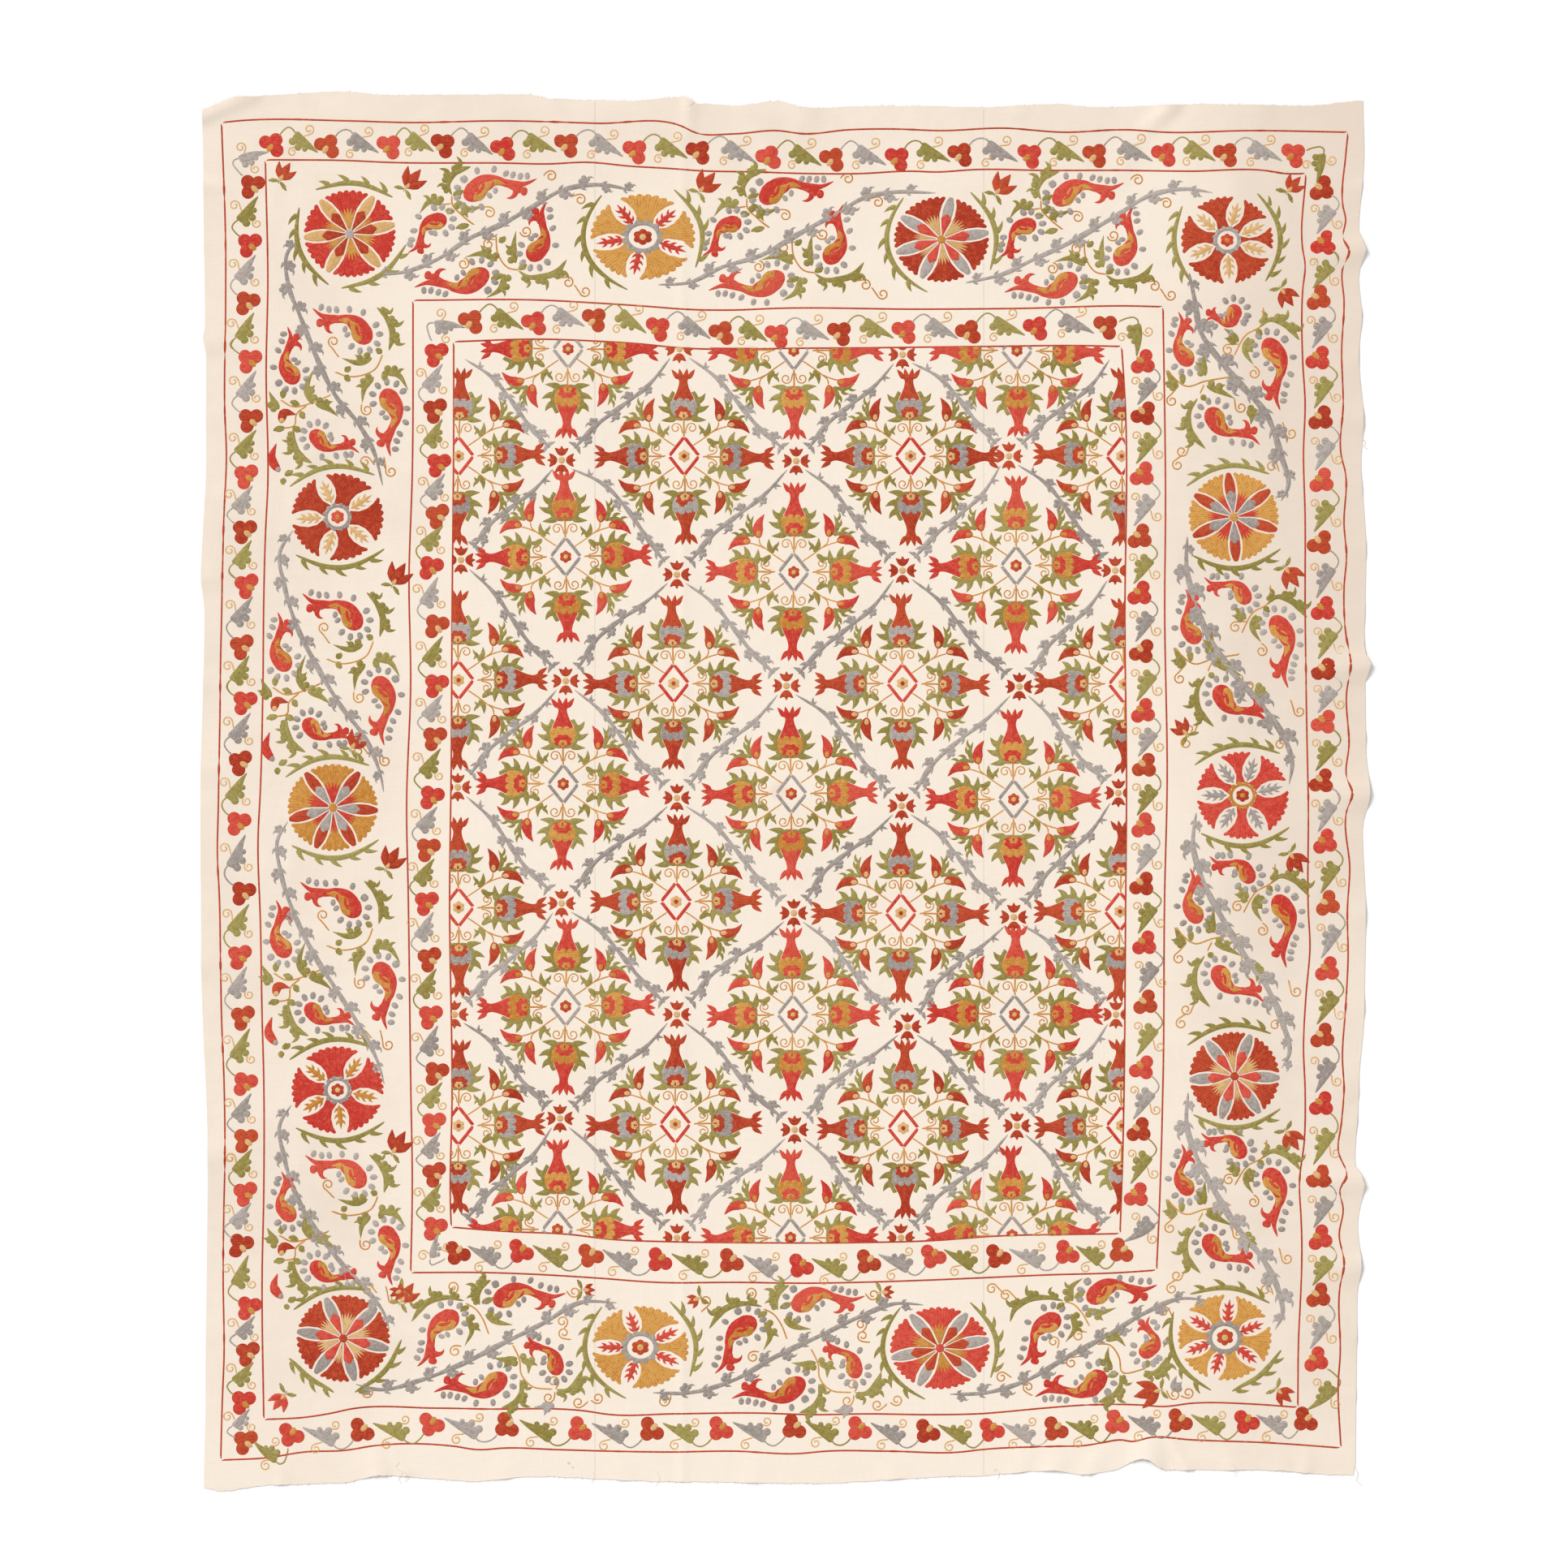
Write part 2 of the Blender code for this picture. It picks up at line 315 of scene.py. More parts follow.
class Finish:
    """A material while its nodes are laid out."""

    def __init__(self, name):
        self.material = bpy.data.materials.new(name)
        self.material.use_nodes = True
        self.tree = self.material.node_tree
        self.shader = self.tree.nodes["Principled BSDF"]

    def node(self, kind, settings=None, inputs=None, output=0):
        """Adds a node of a kind, with its settings and the values or links of its sockets."""
        made = self.tree.nodes.new(kind)
        for name, value in (settings or {}).items():
            setattr(made, name, value)
        for name, value in (inputs or {}).items():
            self.join(made.inputs[name], value)
        return Signal(self, made.outputs[output])

    def join(self, socket, value):
        if isinstance(value, Signal):
            self.tree.links.new(value.socket, socket)
        else:
            socket.default_value = value

    def mix(self, factor, first, second):
        """A colour between two others."""
        made = self.tree.nodes.new("ShaderNodeMix")
        made.data_type = "RGBA"
        made.blend_type = "MIX"
        made.clamp_factor = True
        self.join(made.inputs[0], factor)
        self.join(made.inputs[6], first)
        self.join(made.inputs[7], second)
        return Signal(self, made.outputs[2])

    def place(self):
        """The place on the cloth, in metres."""
        return self.node("ShaderNodeTexCoord", output="Object")

    def stretched(self, vector, x, y):
        """A place with its first two numbers scaled."""
        sockets = {0: vector, 1: (x, y, 1.0)}
        return self.node("ShaderNodeVectorMath", {"operation": "MULTIPLY"}, sockets)

    def noise(self, vector, scale, detail=2.0, roughness=0.5):
        sockets = {"Vector": vector, "Scale": scale, "Detail": detail, "Roughness": roughness}
        return self.node("ShaderNodeTexNoise", {}, sockets, output="Fac")

    def parts(self, vector):
        """The three numbers of a vector."""
        made = self.tree.nodes.new("ShaderNodeSeparateXYZ")
        self.join(made.inputs[0], vector)
        return tuple(Signal(self, output) for output in made.outputs)

    def bump(self, height, distance, strength=1.0):
        """Surface relief of a height given as 0 to 1, distance metres deep."""
        return self.node("ShaderNodeBump", {}, {"Height": height, "Distance": distance, "Strength": strength})

    def surface(self, color, roughness, normal, sheen=0.0, specular=0.3):
        self.join(self.shader.inputs["Base Color"], color)
        self.join(self.shader.inputs["Roughness"], roughness)
        self.join(self.shader.inputs["Normal"], normal)
        self.shader.inputs["Metallic"].default_value = 0.0
        self.shader.inputs["Sheen Weight"].default_value = sheen
        self.shader.inputs["Sheen Roughness"].default_value = 0.5
        self.shader.inputs["Specular IOR Level"].default_value = specular
        return self.material


class Mark(NamedTuple):
    """A stain: its place on the chart, its reach in squares, and how strong it is."""

    across: float
    down: float
    reach: float
    strength: float


STAINS = (
    Mark(across=701, down=1803, reach=3.0, strength=0.5),
    Mark(across=706, down=1808, reach=2.2, strength=0.35),
    Mark(across=960, down=975, reach=16.0, strength=0.16),
    Mark(across=975, down=1038, reach=12.0, strength=0.14),
    Mark(across=414, down=942, reach=2.6, strength=0.45),
    Mark(across=1226, down=1812, reach=2.2, strength=0.4),
    Mark(across=1500, down=205, reach=14.0, strength=0.06),
    Mark(across=900, down=620, reach=20.0, strength=0.05),
    Mark(across=640, down=1300, reach=18.0, strength=0.06),
)


def cotton_finish(name, pale, aged):
    """Hand-woven cotton: a fine plain weave with slubs, uneven whiteness, aged edges and a few stains."""
    finish = Finish(name)
    place = finish.place()
    x, y, _ = finish.parts(place)
    tone = finish.node("ShaderNodeAttribute", {"attribute_name": "tone"}, output="Fac")
    warp = (x * (2.0 * math.pi / WARP_PITCH)).sine()
    weft = (y * (2.0 * math.pi / WEFT_PITCH)).sine()
    weave = warp * weft * 0.5 + 0.5
    long_slubs = finish.noise(finish.stretched(place, 900.0, 24.0), 1.0, 3.0, 0.6)
    cross_slubs = finish.noise(finish.stretched(place, 24.0, 900.0), 1.0, 3.0, 0.6)
    clouds = finish.noise(place, 3.2, 4.0, 0.6)
    small_clouds = finish.noise(place, 17.0, 3.0, 0.6)
    grain = finish.noise(place, 420.0, 2.0, 0.6)
    age = (tone + (clouds - 0.5) * 0.9 + (small_clouds - 0.5) * 0.35).between(0.0, 1.0)
    color = finish.mix(age, (*pale, 1.0), (*aged, 1.0))
    streak = (long_slubs + cross_slubs - 1.0) * 0.30 + (grain - 0.5) * 0.16 + (weave - 0.5) * 0.05
    color = finish.mix(streak.between(-0.15, 0.28) * 0.35, color, (*[c * 0.80 for c in aged], 1.0))
    for mark in STAINS:
        centre = ((mark.across - MIDDLE_ACROSS) * SQUARE * MM, (MIDDLE_DOWN - mark.down) * SQUARE * MM, 0.0)
        away = finish.node("ShaderNodeVectorMath", {"operation": "DISTANCE"}, {0: place, 1: centre}, "Value")
        edge = away + (small_clouds - 0.5) * (mark.reach * SQUARE * MM)
        inside = 1.0 - edge.between(mark.reach * SQUARE * MM * 0.3, mark.reach * SQUARE * MM)
        color = finish.mix(inside * mark.strength, color, (*linear(196, 150, 118), 1.0))
    relief = weave * 0.35 + long_slubs * 0.3 + cross_slubs * 0.3 + grain * 0.2
    fine = finish.bump(relief, 0.00028, 0.55)
    rumple = finish.noise(place, 9.0, 3.0, 0.55) * 0.7 + finish.noise(place, 30.0, 2.0, 0.5) * 0.3
    sockets = {"Height": rumple, "Distance": 0.0032, "Strength": 0.5, "Normal": fine}
    soft = finish.node("ShaderNodeBump", {}, sockets)
    return finish.surface(color, 0.86 + clouds * 0.1, soft, sheen=0.06, specular=0.2)


def thread_finish(name, color, wear, dark):
    """Twisted silk or cotton thread in rows of chain stitch, dyed unevenly, duller where it is worn, with
    painted shade darkening the hollows between its rows and links.
    """
    finish = Finish(name)
    place = finish.place()
    stitch = finish.node("ShaderNodeAttribute", {"attribute_name": "stitch"}, output="Vector")
    along, across, lot = finish.parts(stitch)
    row_place = across / ROW_WIDTH
    rows = (row_place * math.pi + 0.5 * math.pi).sine().size()
    lean = rows * 0.9
    links = ((along + lean * ROW_WIDTH) * (2.0 * math.pi / LINK_LENGTH)).sine() * 0.5 + 0.5
    link_number = (along / LINK_LENGTH + rows * 0.45).floor()
    sockets = {0: link_number, 1: row_place.floor(), 2: lot * 40.0}
    cell = finish.node("ShaderNodeCombineXYZ", {}, sockets)
    settings = {"noise_dimensions": "3D"}
    single = finish.node("ShaderNodeTexWhiteNoise", settings, {"Vector": cell}, output="Value")
    grain = finish.noise(place, 300.0, 2.0, 0.7)
    patches = finish.noise(place, 110.0, 3.0, 0.7)
    abrash = finish.noise(place, 6.0, 3.0, 0.6)
    pale = [c + (w - c) * 0.55 for c, w in zip(color, wear)]
    deep = [c + (d - c) * 0.55 for c, d in zip(color, dark)]
    dye = (abrash - 0.5) * 1.3 + (patches - 0.5) * 1.5 + (lot - 0.5) * 0.7 + 0.5
    body = finish.mix(dye.between(0.0, 1.0), (*pale, 1.0), (*deep, 1.0))
    fleck = (single - 0.5) * 0.9 + (grain - 0.5) * 2.2
    body = finish.mix(fleck.between(0.05, 0.55) * 0.55, body, (*wear, 1.0))
    # Painted shade: the thread is darkened towards its dark colour in the hollows between rows and between
    # links, where shade falls; dark random flecks are mixed in too.
    groove_shade_and_flecks = (1.0 - rows.power(0.7)) * 0.5 + (1.0 - links) * 0.2 + (0.0 - fleck).between(0.05, 0.6) * 0.4
    body = finish.mix(groove_shade_and_flecks, body, (*dark, 1.0))
    relief = rows * 0.55 + links * 0.30 + grain * 0.35 + single * 0.15
    normal = finish.bump(relief, 0.0007, 0.75)
    return finish.surface(body, 0.62 + grain * 0.16, normal, sheen=0.05, specular=0.26)


def smooth_line(points, spacing):
    """Points along a smooth line through the given points, a stretched spacing apart or a little closer."""
    knots = np.asarray(points, float)
    chords = np.maximum(np.hypot(*np.diff(knots, axis=0).T), 1e-6)
    at = np.concatenate(((0.0,), np.cumsum(chords)))
    slopes = np.gradient(knots, at, axis=0)
    fine = np.linspace(0.0, at[-1], 14 * len(knots))
    span = np.clip(np.searchsorted(at, fine, side="right") - 1, 0, len(chords) - 1)
    width = chords[span][:, None]
    share = (fine - at[span])[:, None] / width
    rest = 1.0 - share
    line = (1.0 + 2.0 * share) * rest**2 * knots[span] + share * rest**2 * width * slopes[span]
    line += share**2 * (3.0 - 2.0 * share) * knots[span + 1] - share**2 * rest * width * slopes[span + 1]
    run = np.concatenate(((0.0,), np.cumsum(np.hypot(*np.diff(line, axis=0).T))))
    steps = max(2, math.ceil(run[-1] / (spacing * ROW_STRETCH)))
    even = np.linspace(0.0, run[-1], steps + 1)
    return np.column_stack((np.interp(even, run, line[:, 0]), np.interp(even, run, line[:, 1])))


def at(across, down):
    """A place on the chart, in squares from the middle of the cloth."""
    return np.array((across - MIDDLE_ACROSS, MIDDLE_DOWN - down))


def on_chart(pairs):
    """Places on the chart, in squares from the middle of the cloth."""
    chart = np.asarray(pairs, float)
    return np.column_stack((chart[:, 0] - MIDDLE_ACROSS, MIDDLE_DOWN - chart[:, 1]))


def turned(angle):
    """The unit vector at an angle in degrees from X towards Y."""
    return np.array((math.cos(math.radians(angle)), math.sin(math.radians(angle))))


def left_of(vector):
    return np.array((-vector[1], vector[0]))


def profile(shares, *pairs):
    """A width along a line, from pairs of share of its length and width."""
    return np.interp(shares, [pair[0] for pair in pairs], [pair[1] for pair in pairs])


class Layer(NamedTuple):
    """How high over the cloth the rim and the crest of an area of thread lie, in millimetres."""

    rim: float
    crest: float


GROUND_LAYER = Layer(-0.30, 0.80)
SECOND_LAYER = Layer(0.40, 1.15)
THIRD_LAYER = Layer(0.80, 1.45)
TOP_LAYER = Layer(1.10, 1.70)
HIGHEST_LAYER = Layer(1.40, 1.90)

CLOTH_UNDER = 0.30
CLOTH_OVER = 0.90
BACK_LIFT = 0.08

WIDE_ACROSS = (-1.0, -0.76, 0.0, 0.76, 1.0)
WIDE_SHARES = (0.0, 0.8, 1.0, 0.8, 0.0)
THIN_ACROSS = (-1.0, -0.5, 0.35, 1.0)
THIN_SHARES = (0.0, 0.8, 1.0, 0.0)


TURNED_OVER = (0, 3, 2, 1)


def grid_quads(rows, columns):
    """The faces between the points of a grid that are numbered row by row."""
    index = np.arange(rows * columns).reshape(rows, columns)
    corners = (index[:-1, :-1], index[1:, :-1], index[1:, 1:], index[:-1, 1:])
    return np.stack(corners, axis=-1).reshape(-1, 4)


class Threadwork:
    """Areas of one colour of thread, collected for one piece. Places are in squares from the middle."""

    def __init__(self, name, seed):
        self.name = name
        self.points = []
        self.grain = []
        self.faces = []
        self.count = 0
        self.random = np.random.default_rng(seed)
        self.lot = 0.5

    def new_lot(self):
        """The next motif's thread is from another dye lot, a little lighter or darker."""
        self.lot = self.random.random()
        return self

    def add(self, places, lifts, grain, faces):
        self.points.append(np.column_stack((places, lifts)))
        self.grain.append(grain)
        self.faces.append(faces + self.count)
        self.count += len(places)

    def patch(self, grid, shares, layer, along, across):
        """A domed area over a grid of places, with the share of its height at each."""
        rows, columns = grid.shape[:2]
        flat = grid.reshape(-1, 2)
        lifts = CLOTH_OVER + layer.rim + (layer.crest - layer.rim) * shares.ravel()
        self.add(flat, lifts, self.marks(along, across), grid_quads(rows, columns))
        if layer is GROUND_LAYER:
            keep = [0, columns - 1]
            under = grid[:, keep].reshape(-1, 2)
            marks = self.marks(along[:, keep], across[:, keep])
            quads = grid_quads(rows, len(keep))[:, TURNED_OVER]
            self.add(under, np.full(len(under), BACK_LIFT), marks, quads)

    def marks(self, along, across):
        """What the thread's stitches are counted by: millimetres along and across, and the dye lot."""
        lot = np.full(along.size, self.lot)
        return np.column_stack((along.ravel() * SQUARE, across.ravel() * SQUARE, lot))

    def strip(self, line, left, right, layer=GROUND_LAYER, wide=True, cord=False):
        """An area along a line, with its half widths to the left and the right of it."""
        line = np.asarray(line, float)
        heading = np.gradient(line, axis=0)
        heading /= np.maximum(np.hypot(heading[:, 0], heading[:, 1]), 1e-9)[:, None]
        aside = np.column_stack((-heading[:, 1], heading[:, 0]))
        across = np.array((-1.0, 0.0, 1.0) if cord else WIDE_ACROSS if wide else THIN_ACROSS)
        shares = np.array((0.0, 1.0, 0.0) if cord else WIDE_SHARES if wide else THIN_SHARES)
        left = np.broadcast_to(left, len(line))[:, None]
        right = np.broadcast_to(right, len(line))[:, None]
        offset = np.where(across[None, :] > 0.0, left, right) * across[None, :]
        grid = line[:, None, :] + aside[:, None, :] * offset[..., None]
        height = np.repeat(shares[None, :], len(line), axis=0)
        room = np.clip((left + right) * 0.5 / 1.6, 0.35, 1.0)
        height = height * room
        height[0] = 0.0
        height[-1] = 0.0
        run = np.concatenate(((0.0,), np.cumsum(np.hypot(*np.diff(line, axis=0).T))))
        self.patch(grid, height, layer, np.repeat(run[:, None], len(across), axis=1), offset)

    def leaf(self, points, width, layer=GROUND_LAYER, peak=0.4, spacing=2.5, end=0.02, wide=True):
        """A strip pointed at its far end, widest at peak."""
        line = smooth_line(points, spacing)
        share = np.linspace(0.0, 1.0, len(line))
        half = profile(share, (0.0, 0.25), (peak * 0.45, 0.8), (peak, 1.0), (peak + (1 - peak) * 0.45, 0.62),
                       (peak + (1 - peak) * 0.78, 0.24), (1.0, end))
        half[0] = min(half[0], 0.1)
        self.strip(line, width * half, width * half, layer, wide)

    def cord(self, points, half_width=1.1, spacing=2.6):
        """A single row or two of stitches along a line."""
        self.strip(smooth_line(points, spacing), half_width, half_width, cord=True)

    def disc(self, centre, radius, layer=GROUND_LAYER, stretch=(1.0, 1.0), turn=0.0, lobes=0, depth=0.1,
             segments=16):
        """A domed round area, oval where it is stretched, with a lobed rim where asked."""
        angles = np.linspace(0.0, 2.0 * math.pi, segments, endpoint=False)
        reach = np.full(segments, float(radius))
        if lobes:
            reach = reach * (1.0 - depth + depth * np.abs(np.sin(0.5 * lobes * angles)))
        x = np.cos(angles) * reach * stretch[0]
        y = np.sin(angles) * reach * stretch[1]
        cosine, sine = math.cos(math.radians(turn)), math.sin(math.radians(turn))
        rim = np.column_stack((x * cosine - y * sine, x * sine + y * cosine))
        self.round_area(np.asarray(centre, float), rim, layer)

    def joined_discs(self, centre, lobes, segments=40):
        """One domed area whose rim runs round several discs, each given by angle, distance and radius."""
        angles = np.linspace(0.0, 360.0, segments, endpoint=False)
        reach = np.full(segments, 3.0)
        for turn, distance, radius in lobes:
            away = np.radians(angles - turn)
            inside = radius * radius - (distance * np.sin(away)) ** 2
            far = distance * np.cos(away) + np.sqrt(np.maximum(inside, 0.0))
            reach = np.where(inside > 0.0, np.maximum(reach, far), reach)
        turns = np.radians(angles)
        rim = np.column_stack((np.cos(turns) * reach, np.sin(turns) * reach))
        self.round_area(np.asarray(centre, float), rim, GROUND_LAYER)

    def round_area(self, centre, rim, layer):
        rings = ((1.0, 0.0), (0.76, 0.82))
        count = len(rim)
        places = [centre + rim * share for share, _ in rings] + [centre[None, :]]
        shares = np.concatenate([np.full(count, height) for _, height in rings] + [np.ones(1)])
        places = np.concatenate(places)
        lifts = CLOTH_OVER + layer.rim + (layer.crest - layer.rim) * shares
        offset = (places - centre) * SQUARE
        grain = np.column_stack((offset, np.full(len(places), self.lot)))
        faces = []
        for ring in range(len(rings) - 1):
            low = ring * count
            for step in range(count):
                following = (step + 1) % count
                faces.append((low + step, low + following, low + count + following, low + count + step))
        low = (len(rings) - 1) * count
        top = len(places) - 1
        faces.extend((low + step, low + (step + 1) % count, top, top) for step in range(count))
        self.add(places, lifts, grain, np.array(faces))
        if layer is GROUND_LAYER:
            under = centre + rim
            marks = np.column_stack((rim * SQUARE, np.full(count, self.lot)))
            fan = [(0, step + 1, step, step) for step in range(1, count - 1)]
            self.add(under, np.full(count, BACK_LIFT), marks, np.array(fan))

    def build(self, material, slot, clip=None):
        """Makes the piece, laid on the cloth, and held inside the clip's lines where one is given."""
        if not self.points:
            raise RuntimeError(f"nothing was drawn for {self.name}")
        points = np.concatenate(self.points)
        faces = np.concatenate(self.faces)
        grain = np.concatenate(self.grain)
        if clip is not None:
            points[:, :2], outside = clip(points[:, :2])
            faces = faces[~outside[faces].all(axis=1)]
        x = points[:, 0] * SQUARE
        y = points[:, 1] * SQUARE
        coords = np.column_stack((x, y, cloth_height(x, y) + points[:, 2])) * MM
        triangle = faces[:, 2] == faces[:, 3]
        shapes = faces[~triangle].tolist() + faces[triangle][:, :3].tolist()
        mesh = bpy.data.meshes.new(self.name)
        mesh.from_pydata(coords, [], shapes)
        stitch = mesh.attributes.new("stitch", "FLOAT_VECTOR", "POINT")
        stitch.data.foreach_set("vector", grain.ravel())
        mesh.shade_smooth()
        mesh.materials.append(material)
        piece = bpy.data.objects.new(self.name, mesh)
        bpy.context.scene.collection.objects.link(piece)
        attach(piece, "root")
        return piece


class GuardLine(NamedTuple):
    """One of the four drawn lines round the cloth, by places on the chart along each side."""

    top: tuple
    right: tuple
    bottom: tuple
    left: tuple


OUTER_LINE = GuardLine(
    top=(
        (273, 151), (293, 149), (430, 149), (500, 151), (620, 149), (735, 152), (841, 156), (855, 163),
        (905, 165),
        (958, 161), (990, 165), (1045, 160), (1100, 159), (1160, 161), (1236, 158), (1310, 163), (1390, 160),
        (1435, 163), (1540, 161), (1661, 163),
    ),
    right=(
        (1661, 163), (1658, 192), (1655, 256), (1658, 269), (1655, 294), (1662, 309), (1654, 332),
        (1656, 371),
        (1653, 434), (1655, 495), (1653, 564), (1657, 579), (1656, 648), (1659, 686), (1656, 724),
        (1658, 780),
        (1664, 817), (1659, 855), (1662, 919), (1659, 957), (1666, 977), (1659, 1000), (1663, 1072),
        (1660, 1123),
        (1661, 1177), (1658, 1240), (1654, 1304), (1656, 1342), (1653, 1381), (1649, 1419), (1659, 1449),
        (1651, 1465), (1655, 1490), (1650, 1521), (1656, 1557), (1651, 1585), (1651, 1674), (1649, 1700),
        (1652, 1784),
    ),
    bottom=(
        (272, 1799), (330, 1796), (375, 1789), (425, 1787), (463, 1781), (560, 1782), (587, 1786),
        (625, 1784),
        (684, 1786), (753, 1788), (822, 1789), (906, 1788), (983, 1791), (1018, 1788), (1095, 1788),
        (1184, 1789),
        (1210, 1786), (1299, 1782), (1337, 1781), (1366, 1776), (1381, 1774), (1394, 1776), (1417, 1771),
        (1468, 1774), (1570, 1778), (1652, 1784),
    ),
    left=(
        (273, 151), (278, 300), (278, 380), (277, 507), (279, 558), (276, 635), (274, 712), (273, 763),
        (272, 804),
        (271, 883), (269, 995), (268, 1059), (270, 1097), (272, 1202), (273, 1253), (276, 1330), (277, 1439),
        (276, 1483), (275, 1572), (276, 1674), (274, 1725), (272, 1799),
    ),
)

SECOND_LINE = GuardLine(
    top=(
        (327, 197), (432, 198), (475, 200), (620, 201), (677, 202), (722, 200), (779, 205), (830, 208),
        (855, 210),
        (932, 212), (1000, 214), (1057, 214), (1123, 211), (1153, 212), (1202, 209), (1286, 210), (1380, 210),
        (1468, 211), (1557, 210), (1585, 214), (1609, 214),
    ),
    right=(
        (1609, 214), (1605, 307), (1608, 325), (1605, 358), (1605, 444), (1608, 495), (1606, 559),
        (1608, 635),
        (1608, 740), (1610, 893), (1612, 995), (1612, 1123), (1614, 1164), (1609, 1228), (1606, 1291),
        (1608, 1342), (1607, 1406), (1601, 1457), (1603, 1500), (1604, 1534), (1603, 1585), (1600, 1649),
        (1599, 1734),
    ),
    bottom=(
        (325, 1749), (378, 1746), (414, 1740), (427, 1737), (539, 1735), (600, 1736), (717, 1738),
        (753, 1743),
        (830, 1742), (932, 1741), (1000, 1743), (1069, 1742), (1146, 1743), (1204, 1742), (1286, 1735),
        (1340, 1731), (1404, 1731), (1434, 1733), (1468, 1729), (1544, 1730), (1599, 1734),
    ),
    left=(
        (327, 197), (330, 345), (328, 457), (330, 597), (327, 661), (325, 740), (324, 842), (321, 970),
        (318, 1033), (321, 1140), (323, 1253), (325, 1330), (325, 1470), (323, 1572), (325, 1749),
    ),
)

THIRD_LINE = GuardLine(
    top=(
        (509, 370), (671, 370), (728, 373), (804, 378), (842, 381), (906, 382), (957, 380), (1133, 381),
        (1261, 380), (1391, 377), (1433, 378),
    ),
    right=(
        (1433, 378), (1436, 635), (1435, 740), (1438, 970), (1435, 1100), (1433, 1330), (1428, 1500),
        (1425, 1565),
    ),
    bottom=(
        (506, 1568), (600, 1568), (677, 1571), (740, 1575), (809, 1580), (906, 1580), (1000, 1581),
        (1057, 1580),
        (1123, 1578), (1197, 1575), (1286, 1571), (1380, 1568), (1425, 1565),
    ),
    left=(
        (509, 370), (508, 584), (504, 712), (506, 842), (501, 995), (503, 1100), (506, 1330), (508, 1470),
        (506, 1568),
    ),
)

FIELD_LINE = GuardLine(
    top=(
        (559, 421), (671, 418), (728, 420), (791, 424), (830, 428), (1000, 429), (1210, 427), (1340, 426),
        (1382, 427),
    ),
    right=(
        (1382, 427), (1386, 490), (1386, 780), (1388, 970), (1387, 1100), (1383, 1432), (1380, 1520),
    ),
    bottom=(
        (556, 1512), (620, 1517), (702, 1521), (753, 1527), (830, 1530), (906, 1531), (1057, 1531),
        (1159, 1528),
        (1210, 1524), (1380, 1520),
    ),
    left=(
        (559, 421), (559, 533), (557, 763), (556, 944), (554, 1100), (557, 1355), (555, 1483), (556, 1512),
    ),
)

GUARD_LINES = (OUTER_LINE, SECOND_LINE, THIRD_LINE, FIELD_LINE)


class FlowerSide(NamedTuple):
    """The flowers of one side of a guard border, in the order that the border runs, bright and rust in
    turn."""

    first_is_bright: bool
    olive_after_bright: bool
    heading: float
    places: tuple


OUTER_BORDER = (
    FlowerSide(True, True, 0.0, (
        (335, 179), (403, 181), (479, 181), (545, 179), (620, 184), (698, 179), (782, 187), (860, 188),
        (947, 195),
        (1025, 197), (1105, 196), (1183, 191), (1268, 192), (1349, 192), (1434, 191), (1510, 191),
        (1593, 191),
    )),
    FlowerSide(False, True, -90.0, (
        (1628, 232), (1630, 299), (1624, 367), (1624, 441), (1627, 515), (1628, 592), (1626, 668),
        (1630, 750),
        (1631, 825), (1631, 889), (1628, 962), (1632, 1037), (1635, 1113), (1635, 1194), (1629, 1276),
        (1628, 1360), (1625, 1450), (1626, 1525), (1624, 1596), (1621, 1675),
    )),
    FlowerSide(False, True, 180.0, (
        (1609, 1749), (1536, 1751), (1454, 1750), (1377, 1752), (1301, 1760), (1222, 1761), (1143, 1763),
        (1059, 1760), (979, 1758), (888, 1760), (803, 1761), (715, 1761), (625, 1756), (532, 1754),
        (446, 1762),
        (359, 1767),
    )),
    FlowerSide(False, True, 90.0, (
        (303, 1777), (300, 1728), (306, 1668), (307, 1612), (297, 1535), (303, 1471), (303, 1405),
        (302, 1336),
        (300, 1254), (296, 1179), (300, 1101), (294, 1015), (297, 940), (302, 866), (299, 797), (305, 722),
        (302, 655), (304, 587), (309, 518), (308, 445), (305, 374), (308, 302), (311, 230),
    )),
)

INNER_BORDER = (
    FlowerSide(False, False, 0.0, (
        (580, 397), (658, 399), (732, 394), (810, 405), (889, 411), (957, 414), (1034, 411), (1114, 409),
        (1193, 410), (1276, 405), (1362, 403),
    )),
    FlowerSide(True, False, -90.0, (
        (1408, 446), (1409, 509), (1407, 584), (1404, 661), (1404, 731), (1407, 802), (1408, 876),
        (1410, 943),
        (1408, 1017), (1407, 1089), (1410, 1162), (1411, 1235), (1407, 1315), (1403, 1392), (1400, 1472),
    )),
    FlowerSide(False, False, 180.0, (
        (1382, 1541), (1315, 1543), (1230, 1547), (1150, 1547), (1070, 1554), (987, 1559), (901, 1553),
        (813, 1552), (728, 1546), (642, 1541), (564, 1543),
    )),
    FlowerSide(True, True, 90.0, (
        (536, 1514), (536, 1447), (535, 1385), (538, 1323), (531, 1253), (530, 1182), (526, 1113),
        (528, 1047),
        (532, 983), (536, 910), (538, 845), (538, 772), (531, 700), (540, 636), (541, 573), (537, 506),
        (538, 437),
    )),
)


class Rosette(NamedTuple):
    """One rosette of the wide border, with the angles of its petals or of its eyes of bare cloth."""

    across: float
    down: float
    reach_x: float
    reach_y: float
    eyed: bool
    body: str
    star: str
    petal_tip: str
    petal_base: str
    dot: str
    angles: tuple
    wreaths: tuple


BESIDE = ((128.0, 258.0), (62.0, -36.0))
ABOVE = ((148.0, 48.0), (222.0, 326.0))

